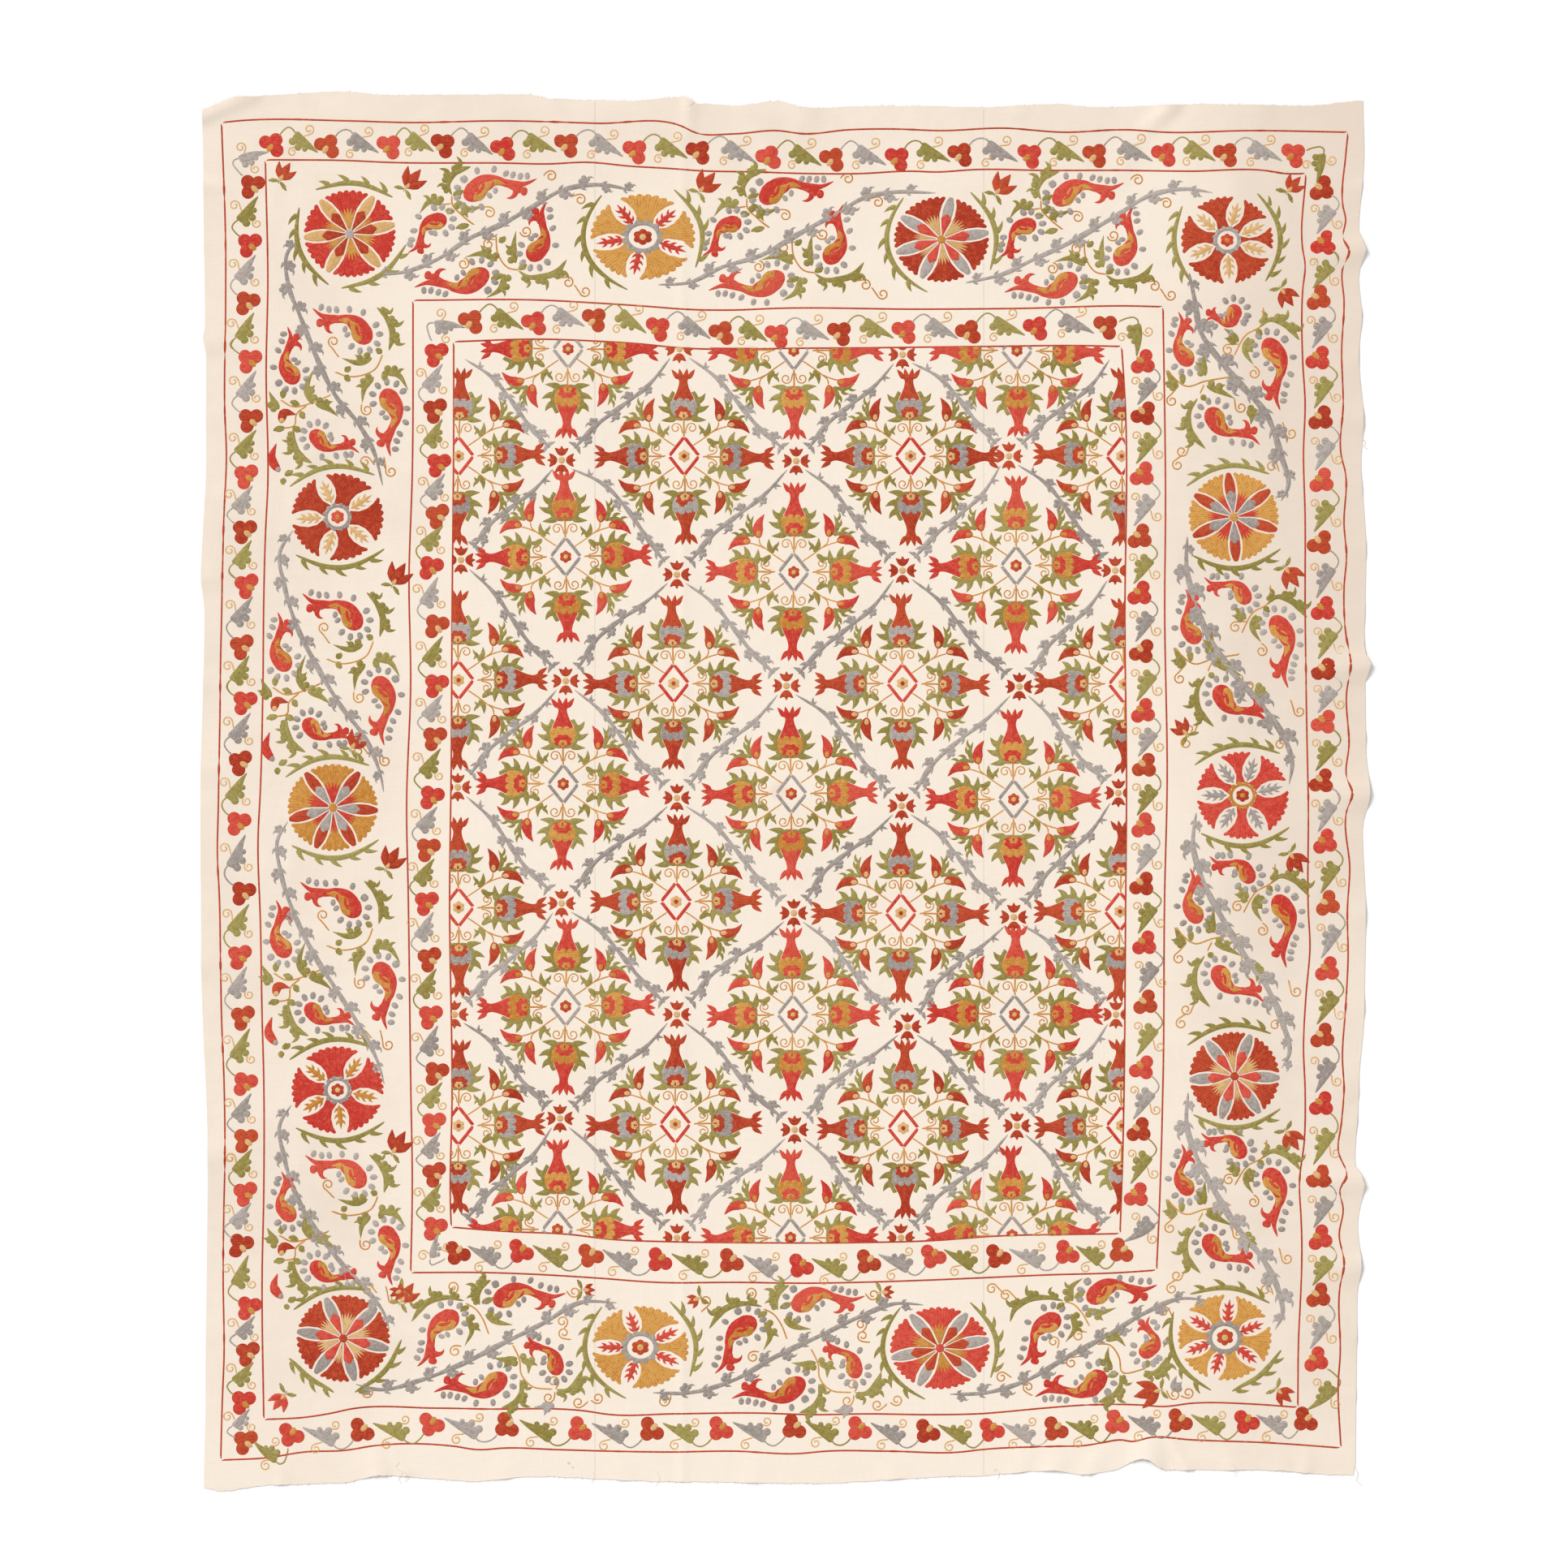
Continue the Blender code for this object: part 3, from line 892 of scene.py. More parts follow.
ROSETTES = (
    Rosette(431, 288, 58, 55, False, "bright", "gold", "pale", "rust", "grey",
            (12, 59, 130, 185, 241, 311), ((128, 40), (150, 250), (-100, -10))),
    Rosette(792, 292, 66, 54, True, "gold", "bright", "grey", "rust", "pale",
            (123, 45, -23, -101, 190), BESIDE),
    Rosette(1160, 295, 60, 54, False, "rust", "pale", "grey", "bright", "gold",
            (78, 9, -54, -115, 198, 148), BESIDE),
    Rosette(1512, 296, 58, 55, True, "rust", "pale", "grey", "bright", "gold",
            (75, 24, -18, -87, 205, 138), ((140, 235), (60, -50))),
    Rosette(416, 637, 58, 55, True, "rust", "pale", "grey", "bright", "gold",
            (112, 34, -41, -107, 183), ABOVE),
    Rosette(410, 995, 57, 55, False, "gold", "bright", "rust", "grey", "gold",
            (127, 54, -4, -61, -112, 196), ABOVE),
    Rosette(416, 1343, 58, 55, True, "bright", "gold", "grey", "rust", "pale",
            (141, 56, -13, -85, 212), ABOVE),
    Rosette(423, 1649, 59, 55, False, "rust", "pale", "grey", "bright", "rust",
            (112, 45, -14, -76, -127, 171), ((150, 60), (200, 262), (-80, 0))),
    Rosette(789, 1660, 61, 52, True, "gold", "bright", "grey", "rust", "pale",
            (105, 29, -27, -107, 180), BESIDE),
    Rosette(1158, 1661, 63, 52, False, "bright", "gold", "grey", "rust", "bright",
            (126, 57, 12, -44, -115, 194), BESIDE),
    Rosette(1509, 1648, 59, 54, True, "gold", "bright", "grey", "rust", "pale",
            (83, 22, -41, -105, 203, 147), ((128, 38), (150, 258), (-12, -84))),
    Rosette(1520, 637, 57, 56, False, "gold", "bright", "rust", "grey", "gold",
            (97, 37, -17, -87, 206, 150), ABOVE),
    Rosette(1531, 980, 58, 55, True, "bright", "grey", "gold", "rust", "gold",
            (73, 13, -62, -122, 180, 125), ABOVE),
    Rosette(1521, 1326, 57, 56, False, "rust", "pale", "grey", "bright", "rust",
            (69, -2, -56, -107, 185, 128), ABOVE),
)


class Thread(NamedTuple):
    """One dyed thread: its slot in the record and its colour, with those of its worn stitches and of its
    darker dye, which also gives the painted shade in the hollows of its stitches."""

    slot: str
    color: tuple
    wear: tuple
    dark: tuple


THREADS = {
    "bright": Thread("bright_red_thread", linear(216, 60, 42), linear(230, 112, 88), linear(184, 38, 28)),
    "rust": Thread("rust_thread", linear(194, 58, 20), linear(214, 100, 58), linear(152, 36, 12)),
    "gold": Thread("gold_thread", linear(212, 146, 56), linear(228, 178, 102), linear(180, 112, 34)),
    "pale": Thread("pale_gold_thread", linear(226, 182, 118), linear(234, 202, 152), linear(200, 150, 88)),
    "olive": Thread("olive_thread", linear(164, 148, 68), linear(184, 172, 110), linear(126, 111, 46)),
    "grey": Thread("grey_thread", linear(178, 166, 157), linear(204, 193, 184), linear(134, 123, 116)),
}


class Region:
    """The thread of one region of the embroidery, one piece for each colour."""

    def __init__(self, name):
        self.name = name
        self.colors = {}

    def __getitem__(self, color):
        if color not in self.colors:
            seed = 1 + sum(ord(letter) for letter in self.name + color)
            self.colors[color] = Threadwork(f"{self.name}_{color}", seed)
        return self.colors[color]

    def build(self, clip=None):
        for color, work in self.colors.items():
            thread = THREADS[color]
            material = bpy.data.materials.get(thread.slot)
            if material is None:
                material = thread_finish(thread.slot, thread.color, thread.wear, thread.dark)
            work.build(material, thread.slot, clip)


# How often a tendril winds round its centre.
TENDRIL_TURNS = 1.3


def scroll(work, start, centre, radius, half_width, clockwise=False):
    """A tendril from a start that curls into a spiral about a centre."""
    start = np.asarray(start, float)
    centre = np.asarray(centre, float)
    way = -1.0 if clockwise else 1.0
    first = math.atan2(*(start - centre)[::-1]) + way * 0.8
    share = np.linspace(0.0, 1.0, 15)
    angles = first + way * TENDRIL_TURNS * 2.0 * math.pi * share
    reach = radius * (1.0 - 0.7 * share)
    spiral = centre + np.column_stack((np.cos(angles), np.sin(angles))) * reach[:, None]
    work.cord(np.vstack((start, spiral)), half_width, spacing=1.9)


def thorn(work, root, heading, side, length, half_width, curl):
    """A curved pointed thorn that leaves a stem to one side and bends along its heading."""
    heading = np.asarray(heading, float)
    out = left_of(heading) * side
    middle = root + out * length * 0.42 + heading * length * (curl * 0.5)
    tip = root + out * length * (0.95 - curl * 0.35) + heading * length * curl
    work.leaf((root, middle, tip), half_width, peak=0.2, spacing=2.4, wide=False)


def guard_flower(region, centre, facing, bright):
    """A trefoil seen from its side, with its eye where the stem meets it."""
    petals = region["bright" if bright else "rust"].new_lot()
    petals.joined_discs(centre, (
        (facing, 9.2, 9.0), (facing + 100.0, 9.6, 8.8), (facing - 100.0, 9.8, 9.0),
        (facing + 180.0, 1.5, 7.5),
    ), segments=48)
    eye = region["gold" if bright else "pale"]
    eye.disc(centre - turned(facing) * 3.6, 4.6, SECOND_LAYER, stretch=(1.25, 0.85), turn=facing, segments=12)


FLOWER_SPACING = 72.0


def guard_stem(region, flower, following, leaf, sway, bulge):
    """The stem, lobed leaf and two tendrils between one flower of a guard border and the next, bent out at
    corners."""
    step = following - flower
    reach = np.hypot(*step)
    ahead = step / reach
    out = left_of(ahead)
    scale = reach / FLOWER_SPACING
    narrow = min(1.0, scale * 1.1)

    def spot(along, outward):
        bent = bulge * math.sin(math.pi * min(along / FLOWER_SPACING, 1.0))
        return flower + ahead * along * scale + out * (outward + bent)

    green = region[leaf].new_lot()
    green.cord((spot(8, 10), spot(14, 18), spot(21, 22 + sway), spot(28, 19), spot(31, 14)), 1.4)
    line = smooth_line((spot(27, 13), spot(33, 9.5), spot(41, 5), spot(50, 0), spot(61, -8)), 1.9)
    share = np.linspace(0.0, 1.0, len(line))
    outer = profile(share, (0, 7.5), (0.12, 8.4), (0.4, 6.0), (0.7, 3.0), (1, 0.6)) * narrow
    inner = profile(share, (0, 5.0), (0.14, 9.0), (0.4, 9.2), (0.62, 5.4), (0.8, 2.8), (1, 0.6)) * narrow
    lobes = np.where(share < 0.75, 0.74 + 0.26 * np.abs(np.sin(math.pi * 3.4 * share + 0.5)), 1.0)
    green.strip(line, outer, inner * lobes)
    green.disc(spot(27, 5.5), 5.4 * narrow, segments=12)
    green.disc(spot(34, -1.5), 5.0 * narrow, segments=12)
    green.disc(spot(43, -3.5), 3.8 * narrow, segments=10)
    tendrils = region["pale"]
    scroll(tendrils, spot(40, 12), spot(48, 20 + sway), 6.4, half_width=1.35)
    scroll(tendrils, spot(36, -6), spot(27, -8.5 + sway), 5.8, half_width=1.35)


def petal_half(distance):
    """Half the width of a rosette's long petal at a distance from the middle."""
    return opening(distance, 7.4, 3.0, 61.0, 0.85, 1.35)


def lobed_node(work, place, heading, side, size):
    """A knot of a thorny branch: round lobes on a wide neck, ending in a hook that points along the
    heading."""
    out = left_of(heading) * side

    def spot(outward, onward):
        return place + out * size * outward + heading * size * onward

    foot = place - out * 1.5 - heading * size * 0.4
    neck = smooth_line((foot, place + out * size * 0.7, spot(1.25, 0.2)), 2.2)
    work.strip(neck, size * 1.05, size * 1.05, wide=False)
    for outward, onward, reach in ((1.05, -0.85, 0.62), (1.7, -0.1, 0.66), (1.3, 0.75, 0.6)):
        work.disc(spot(outward, onward), size * reach, segments=14)
    hook = (spot(1.1, 0.4), spot(1.75, 1.3), spot(1.3, 2.5))
    work.leaf(hook, size * 0.42, peak=0.22, spacing=2.2, wide=False)


def guard_border(region, sides):
    """One guard border, running clockwise round the cloth."""
    wobble = np.random.default_rng(7)
    flowers = []
    for side, next_side in zip(sides, (*sides[1:], sides[0])):
        for number, place in enumerate(side.places):
            bright = side.first_is_bright == (number % 2 == 0)
            ruling = next_side if number == len(side.places) - 1 else side
            leaf = "olive" if bright == ruling.olive_after_bright else "grey"
            flowers.append((at(*place), side.heading, bright, leaf))
    for number, (centre, heading, bright, leaf) in enumerate(flowers):
        following, turned_heading = flowers[(number + 1) % len(flowers)][:2]
        guard_flower(region, centre, heading + 50.0 + wobble.uniform(-14.0, 14.0), bright)
        guard_stem(region, centre, following, leaf, wobble.uniform(-1.2, 1.2),
                   0.0 if turned_heading == heading else 15.0)


# Reach in squares of the rosette that the places of layers and petals are written for.
ROSETTE_REACH = 58.0


def polar_patch(work, rosette, low, high, inner, outer, layer, columns):
    """An area of a rosette between two bounding angles, each given for a distance, and two distances."""
    row_share = np.array((0.0, 0.07, 0.3, 0.55, 0.8, 0.95, 1.0))
    row_height = np.array((0.0, 0.62, 0.93, 1.0, 0.93, 0.62, 0.0))
    column_share = np.concatenate(((0.0, 0.03), np.linspace(0.08, 0.92, columns), (0.97, 1.0)))
    column_height = np.concatenate(((0.0, 0.62), np.ones(columns), (0.62, 0.0)))
    far = outer(column_share)
    near = inner(column_share)
    distance = near[None, :] + (far - near)[None, :] * row_share[:, None]
    start = low(distance)
    stop = high(distance)
    angle = np.radians(start + (stop - start) * column_share[None, :])
    scale_x = rosette.reach_x / ROSETTE_REACH
    scale_y = rosette.reach_y / ROSETTE_REACH
    middle = at(rosette.across, rosette.down)
    grid_x = np.cos(angle) * distance * scale_x
    grid_y = np.sin(angle) * distance * scale_y
    grid = np.stack((grid_x, grid_y), axis=-1) + middle
    heights = np.minimum(row_height[:, None], column_height[None, :])
    work.patch(grid, heights, layer, distance, angle * 30.0)


def opening(distance, widest, inner, outer, power, skew=1.0):
    """Half the width that a lens-shaped gap takes at a distance from the middle."""
    share = np.clip((distance - inner) / (outer - inner), 0.0, 1.0) ** skew
    return widest * np.sin(math.pi * share) ** power


def scalloped(reach, count, depth):
    def outer(share):
        return reach * (1.0 - depth + depth * np.abs(np.sin(math.pi * count * share)))

    return outer


def rosette_sectors(region, rosette, gap, inner):
    """The filled sectors of a rosette between its petals or eyes, with their scalloped rim."""
    angles = sorted(angle % 360.0 for angle in rosette.angles)
    for start, stop in zip(angles, (*angles[1:], angles[0] + 360.0)):
        def low(distance, edge=start):
            return edge + np.degrees(np.arcsin(np.clip(gap(distance) / distance, 0.0, 0.9)))

        def high(distance, edge=stop):
            return edge - np.degrees(np.arcsin(np.clip(gap(distance) / distance, 0.0, 0.9)))

        count = max(3, round((stop - start) / 10.5))
        polar_patch(region[rosette.body], rosette, low, high, lambda share: np.full(len(share), inner),
                    scalloped(ROSETTE_REACH, count, 0.055), GROUND_LAYER, 6 * count)
        yield low, high, stop - start


def petalled_rosette(region, rosette):
    """A rosette of lens-shaped petals round a dot, with a pronged star between them."""
    def gap(distance):
        return petal_half(distance) + 1.7

    for color in (rosette.body, rosette.star, rosette.petal_tip, rosette.petal_base, rosette.dot):
        region[color].new_lot()
    for low, high, width in rosette_sectors(region, rosette, gap, 7.0):
        prongs = max(3, round(width / 14.0))

        def jagged(share, prongs=prongs):
            saw = np.abs(((share * prongs) % 1.0) - 0.5) * 2.0
            return 33.0 - 10.5 * saw + 3.0 * np.sin(math.pi * share)

        star = region[rosette.star]
        columns = 6 * prongs + 1
        polar_patch(star, rosette, low, high, lambda share: np.full(len(share), 6.2), jagged,
                    SECOND_LAYER, columns)
    middle = at(rosette.across, rosette.down)
    scale = np.array((rosette.reach_x / ROSETTE_REACH, rosette.reach_y / ROSETTE_REACH))
    for angle in rosette.angles:
        away = turned(angle) * scale
        distance = np.linspace(27.0, 57.5, 15)
        line = middle + away * distance[:, None]
        half = petal_half(distance) - 0.2
        half[0] = 1.2
        region[rosette.petal_tip].strip(line, half, half)
        distance = np.linspace(4.5, 35.0, 15)
        line = middle + away * distance[:, None]
        half = (petal_half(distance) + 0.1) * profile(distance, (0, 1), (28, 1), (31, 0.55), (35, 0.05))
        region[rosette.petal_base].strip(line, half, half, SECOND_LAYER)
    region[rosette.dot].disc(middle, 5.2, THIRD_LAYER, segments=14)


def eyed_rosette(region, rosette):
    """A rosette with eyes of bare cloth, each with a pronged leaf, round a scalloped ring and a small
    flower."""
    def gap(distance):
        return opening(distance, 10.8, 17.0, 60.0, 0.62)

    for color in (rosette.body, rosette.star, rosette.petal_tip, rosette.petal_base, rosette.dot):
        region[color].new_lot()
    for _ in rosette_sectors(region, rosette, gap, 15.5):
        pass
    middle = at(rosette.across, rosette.down)
    scale = np.array((rosette.reach_x / ROSETTE_REACH, rosette.reach_y / ROSETTE_REACH))
    for angle in rosette.angles:
        away = turned(angle) * scale
        aside = left_of(turned(angle)) * scale
        leaf = region[rosette.star]
        leaf.leaf((middle + away * 19.0, middle + away * 36, middle + away * 53), 3.6, peak=0.45, spacing=1.9)
        for distance, reach in ((23.5, 7.2), (31.5, 8.2), (39.5, 6.4)):
            root = middle + away * distance
            for side in (-1.0, 1.0):
                leaf.leaf((root, root + aside * side * reach * 0.6 + away * 2.4,
                           root + aside * side * reach + away * 7.5), 2.6, peak=0.16, wide=False)
    wide = 1.25 if rosette.body == "gold" else 1.0
    ring = region[rosette.petal_tip]
    polar_patch(ring, rosette, lambda d: np.zeros(d.shape), lambda d: np.full(d.shape, 360.0),
                lambda share: np.full(len(share), 12.4 * wide), scalloped(18.8 * wide, 12, 0.2),
                SECOND_LAYER, 84)
    region[rosette.petal_base].disc(middle, 9.4 * wide, stretch=scale, lobes=6, depth=0.2, segments=30)
    region[rosette.dot].disc(middle, 3.6 * wide, SECOND_LAYER, segments=12)


def wreath(work, rosette, start, stop):
    """A thorny arc that embraces part of a rosette, running counterclockwise."""
    work.new_lot()
    start, stop = min(start, stop), max(start, stop)
    middle = at(rosette.across, rosette.down)
    count = max(12, round((stop - start) / 4.0))
    share = np.linspace(0.0, 1.0, count)
    angles = np.radians(start + (stop - start) * share)
    off = 7.5 + 6.0 * (2.0 * share - 1.0) ** 4
    line = middle + np.column_stack((
        np.cos(angles) * (rosette.reach_x + off), np.sin(angles) * (rosette.reach_y + off)
    ))
    half = 3.6 * np.sin(math.pi * np.clip(share * 0.94 + 0.03, 0.0, 1.0)) ** 0.7
    work.strip(line, half, half)
    thorns = max(4, round((stop - start) / 20.0))
    for number in range(thorns):
        at_share = 0.1 + 0.72 * number / max(thorns - 1, 1)
        index = int(at_share * (count - 1))
        heading = line[index + 1] - line[index - 1]
        thorn(work, line[index], heading / np.hypot(*heading), -1.0, 17.5 - 2.5 * (number % 2), 4.2, 0.95)


def vine(work, points, sturdy, first_side=1.0):
    """A lobed and thorny branch, thin at both ends and as sturdy as asked between them."""
    work.new_lot()
    line = smooth_line(points, 2.6)
    share = np.linspace(0.0, 1.0, len(line))
    uneven = 1.0 + 0.14 * np.sin(share * 41.0 + first_side) + 0.1 * np.sin(share * 17.0)
    slimmed = profile(share, (0, 0.15), (0.05, 0.6), (0.2, 1.0), (0.6, 1.1), (0.88, 0.9), (0.96, 0.5),
                      (1, 0.15))
    half = 3.1 * sturdy * slimmed
    work.strip(line, half * uneven, half * uneven)
    heading = np.gradient(line, axis=0)
    heading /= np.hypot(*heading.T)[:, None]
    side = first_side
    step = 8
    for index in range(step // 2 + 1, len(line) - 3, step):
        ahead = heading[index]
        size = 5.5 * sturdy if 0.12 < share[index] < 0.88 else 4.3
        lobed_node(work, line[index], ahead, side, size)
        thorn(work, line[index] - ahead * 6.0, ahead, -side, size * 1.9, 3.0, 0.9)
        side = -side


def follow(line, share):
    """Place and unit heading at a share of a line."""
    index = int(round(share * (len(line) - 1)))
    low = max(index - 1, 0)
    high = min(index + 1, len(line) - 1)
    heading = line[high] - line[low]
    return line[index], heading / np.hypot(*heading)


def line_sides(line, place):
    """Where the left, right, bottom and top sides of a drawn line lie beside a place."""
    across = place[0] + MIDDLE_ACROSS
    down = MIDDLE_DOWN - place[1]

    def on_side(side, known, sought, where):
        pairs = sorted((pair[known], pair[sought]) for pair in side)
        return float(np.interp(where, [pair[0] for pair in pairs], [pair[1] for pair in pairs]))

    left = on_side(line.left, 1, 0, down) - MIDDLE_ACROSS
    right = on_side(line.right, 1, 0, down) - MIDDLE_ACROSS
    bottom = MIDDLE_DOWN - on_side(line.bottom, 0, 1, across)
    top = MIDDLE_DOWN - on_side(line.top, 0, 1, across)
    return left, right, bottom, top


def between_lines(place, room=7.0):
    """The place itself, or where it is moved to clear both lines of the wide border."""
    left, right, bottom, top = line_sides(SECOND_LINE, place)
    x = min(max(place[0], left + room), right - room)
    y = min(max(place[1], bottom + room), top - room)
    left, right, bottom, top = line_sides(THIRD_LINE, place)
    ways_out = ((x - left + room, (left - room, y)), (right + room - x, (right + room, y)),
                (y - bottom + room, (x, bottom - room)), (top + room - y, (x, top + room)))
    depth, moved = min(ways_out)
    return np.array(moved if depth > 0.0 else (x, y))


def dot(work, place, radius, way):
    """One oval dot beside a paisley, left out where a line of the border leaves it no room."""
    moved = between_lines(place)
    if np.hypot(*(moved - place)) < 4.5:
        work.disc(moved, radius, stretch=(1.1, 0.82), segments=10,
                  turn=math.degrees(math.atan2(way[1], way[0])))


COMMA_REACH = 68.0
SHORT_COMMA_REACH = 58.0


def paisley(region, head, tail, bulge):
    """A comma-shaped leaf with a forked tail, gold within and ringed by grey dots. bulge is +1 when its
    back lies to the left of the way from head to tail, and -1 to the right."""
    head = np.asarray(head, float)
    tail = np.asarray(tail, float)
    reach = np.hypot(*(tail - head))
    ahead = (tail - head) / reach
    back = left_of(ahead) * bulge
    deep = (0.15 + max(SHORT_COMMA_REACH - reach, 0.0) * 0.011) * reach
    size = float(np.clip(reach / COMMA_REACH, 0.84, 1.04))
    radius = 13.2 * size
    for color in ("bright", "gold", "grey"):
        region[color].new_lot()

    def aside(along, off):
        return head + ahead * along * reach + back * off

    def asides(*pairs):
        return [aside(along, off) for along, off in pairs]

    front = head - ahead * radius * 0.92 - back * radius * 0.3
    spine = asides((0.0, 0.4), (0.17, deep * 0.72), (0.36, deep * 0.74), (0.55, deep * 0.12), (0.77, -3.0),
                   (1, 0))
    line = smooth_line((front, *spine), 2.2)
    share = np.linspace(0.0, 1.0, len(line))
    half = size * profile(share, (0, 0.5), (0.02, 5.5), (0.05, 8.8), (0.1, 12.0), (0.15, 13.2), (0.24, 12.2),
                          (0.36, 9.6), (0.46, 6.6), (0.55, 5.0), (0.64, 5.4), (0.74, 4.6), (0.84, 2.6),
                          (0.93, 1.5), (1, 0.3))
    red = region["bright"]
    red.strip(line, half, half)
    lobe = aside(0.72, -10.5 * size)
    neck = smooth_line((*asides((0.56, deep * 0.05), (0.64, -5.0 * size)), lobe), 2.0)
    red.strip(neck, 5.0 * size, 5.0 * size)
    onward = math.degrees(math.atan2(*ahead[::-1]))
    outward = math.degrees(math.atan2(*(ahead - back)[::-1]))
    red.joined_discs(lobe, ((onward, 3.2, 4.6 * size), (outward, 3.4, 4.4 * size)), segments=20)
    fork = asides((0.62, -4.0 * size), (0.62, -11.5 * size), (0.54, -15.5 * size), (0.45, -14.0 * size))
    red.leaf(fork, 4.2 * size, peak=0.3, spacing=2.0, wide=False)
    gold = region["gold"]
    inner = smooth_line(asides((-0.02, -8.4 * size), (0.1, -5.2 * size), (0.21, deep * 0.25),
                               (0.36, deep * 0.5), (0.52, deep * 0.08)), 1.9)
    span = np.linspace(0.0, 1.0, len(inner))
    scalloped_side = size * profile(span, (0, 0.6), (0.12, 8.4), (0.4, 8.8), (0.75, 4.6), (1, 0.4))
    scalloped_side = scalloped_side * (0.62 + 0.38 * np.abs(np.sin(math.pi * 3.0 * span + 0.6)))
    plain_side = size * profile(span, (0, 0.6), (0.12, 4.6), (0.5, 4.6), (0.8, 2.6), (1, 0.4))
    sides = (scalloped_side, plain_side) if bulge > 0 else (plain_side, scalloped_side)
    gold.strip(inner, *sides, SECOND_LAYER)
    long_hook = asides((0.2, deep * 0.8), (0.12, 0.5), (0.04, -2.6), (-0.02, 1.6))
    short_hook = asides((0.35, deep * 0.75), (0.29, deep * 0.2), (0.22, -1.6))
    red.leaf(long_hook, 2.8 * size, THIRD_LAYER, 0.3, wide=False)
    red.leaf(short_hook, 2.2 * size, THIRD_LAYER, 0.3, wide=False)
    grey = region["grey"]
    faced = math.degrees(math.atan2(-ahead[1], -ahead[0]))
    for turn in np.linspace(-108.0, 66.0, 6):
        way = turned(faced - turn * bulge)
        dot(grey, head + way * (radius + 6.4), 4.9, way)
    count = max(4, int((reach + deep * 2.0) * 0.7 / 10.4))
    for number in range(count):
        along = 0.2 + 0.7 * number / max(count - 1, 1)
        place, heading = follow(line, along)
        way = left_of(heading) * bulge
        off = np.interp(along, share, half) + 6.0
        lean = way + heading * 0.35
        dot(grey, place + way * off, 4.7, lean)
    for along in (0.29, 0.47):
        place, heading = follow(line, along)
        way = -left_of(heading) * bulge
        off = np.interp(along, share, half) + 5.8
        dot(grey, place + way * off, 4.3, way)


class PomegranateColors(NamedTuple):
    """The threads of one of the two kinds of pomegranate unit that the field repeats."""

    fruit: str
    band: str
    inner_eye: str
    diamond: str
    centre: str
    centre_eye: str
    bud: str
    bud_eye: str


RUST_UNIT = PomegranateColors("rust", "grey", "pale", "bright", "pale", "rust", "rust", "pale")
BRIGHT_UNIT = PomegranateColors("bright", "gold", "gold", "grey", "rust", "pale", "bright", "gold")

RUST_UNITS = (
    (843, 562), (1122, 562), (830, 842), (1112, 842), (833, 1111), (1110, 1125), (832, 1385), (1113, 1390),
    (565, 562), (565, 838), (565, 1118), (565, 1387), (1382, 562), (1385, 843), (1380, 1123), (1382, 1387),
)
BRIGHT_UNITS = (
    (697, 686), (978, 705), (1252, 697), (694, 966), (975, 978), (1249, 985), (697, 1240), (977, 1250),
    (1250, 1250), (700, 430), (978, 432), (1253, 432), (687, 1515), (974, 1525), (1247, 1522),
)
CROSS_FLOWERS = (
    (692, 567), (981, 568), (1243, 562), (834, 708), (1112, 703), (1374, 703), (697, 839), (969, 845),
    (1256, 846),
    (834, 983), (1111, 993), (692, 1113), (978, 1125), (1249, 1130), (834, 1250), (1118, 1265), (690, 1378),
    (979, 1392), (1253, 1387), (568, 690), (564, 970), (560, 1250), (1378, 977), (1375, 1250), (837, 430),
    (1112, 437), (834, 1525), (1110, 1525), (562, 432), (1378, 432), (560, 1518), (1376, 1522),
)


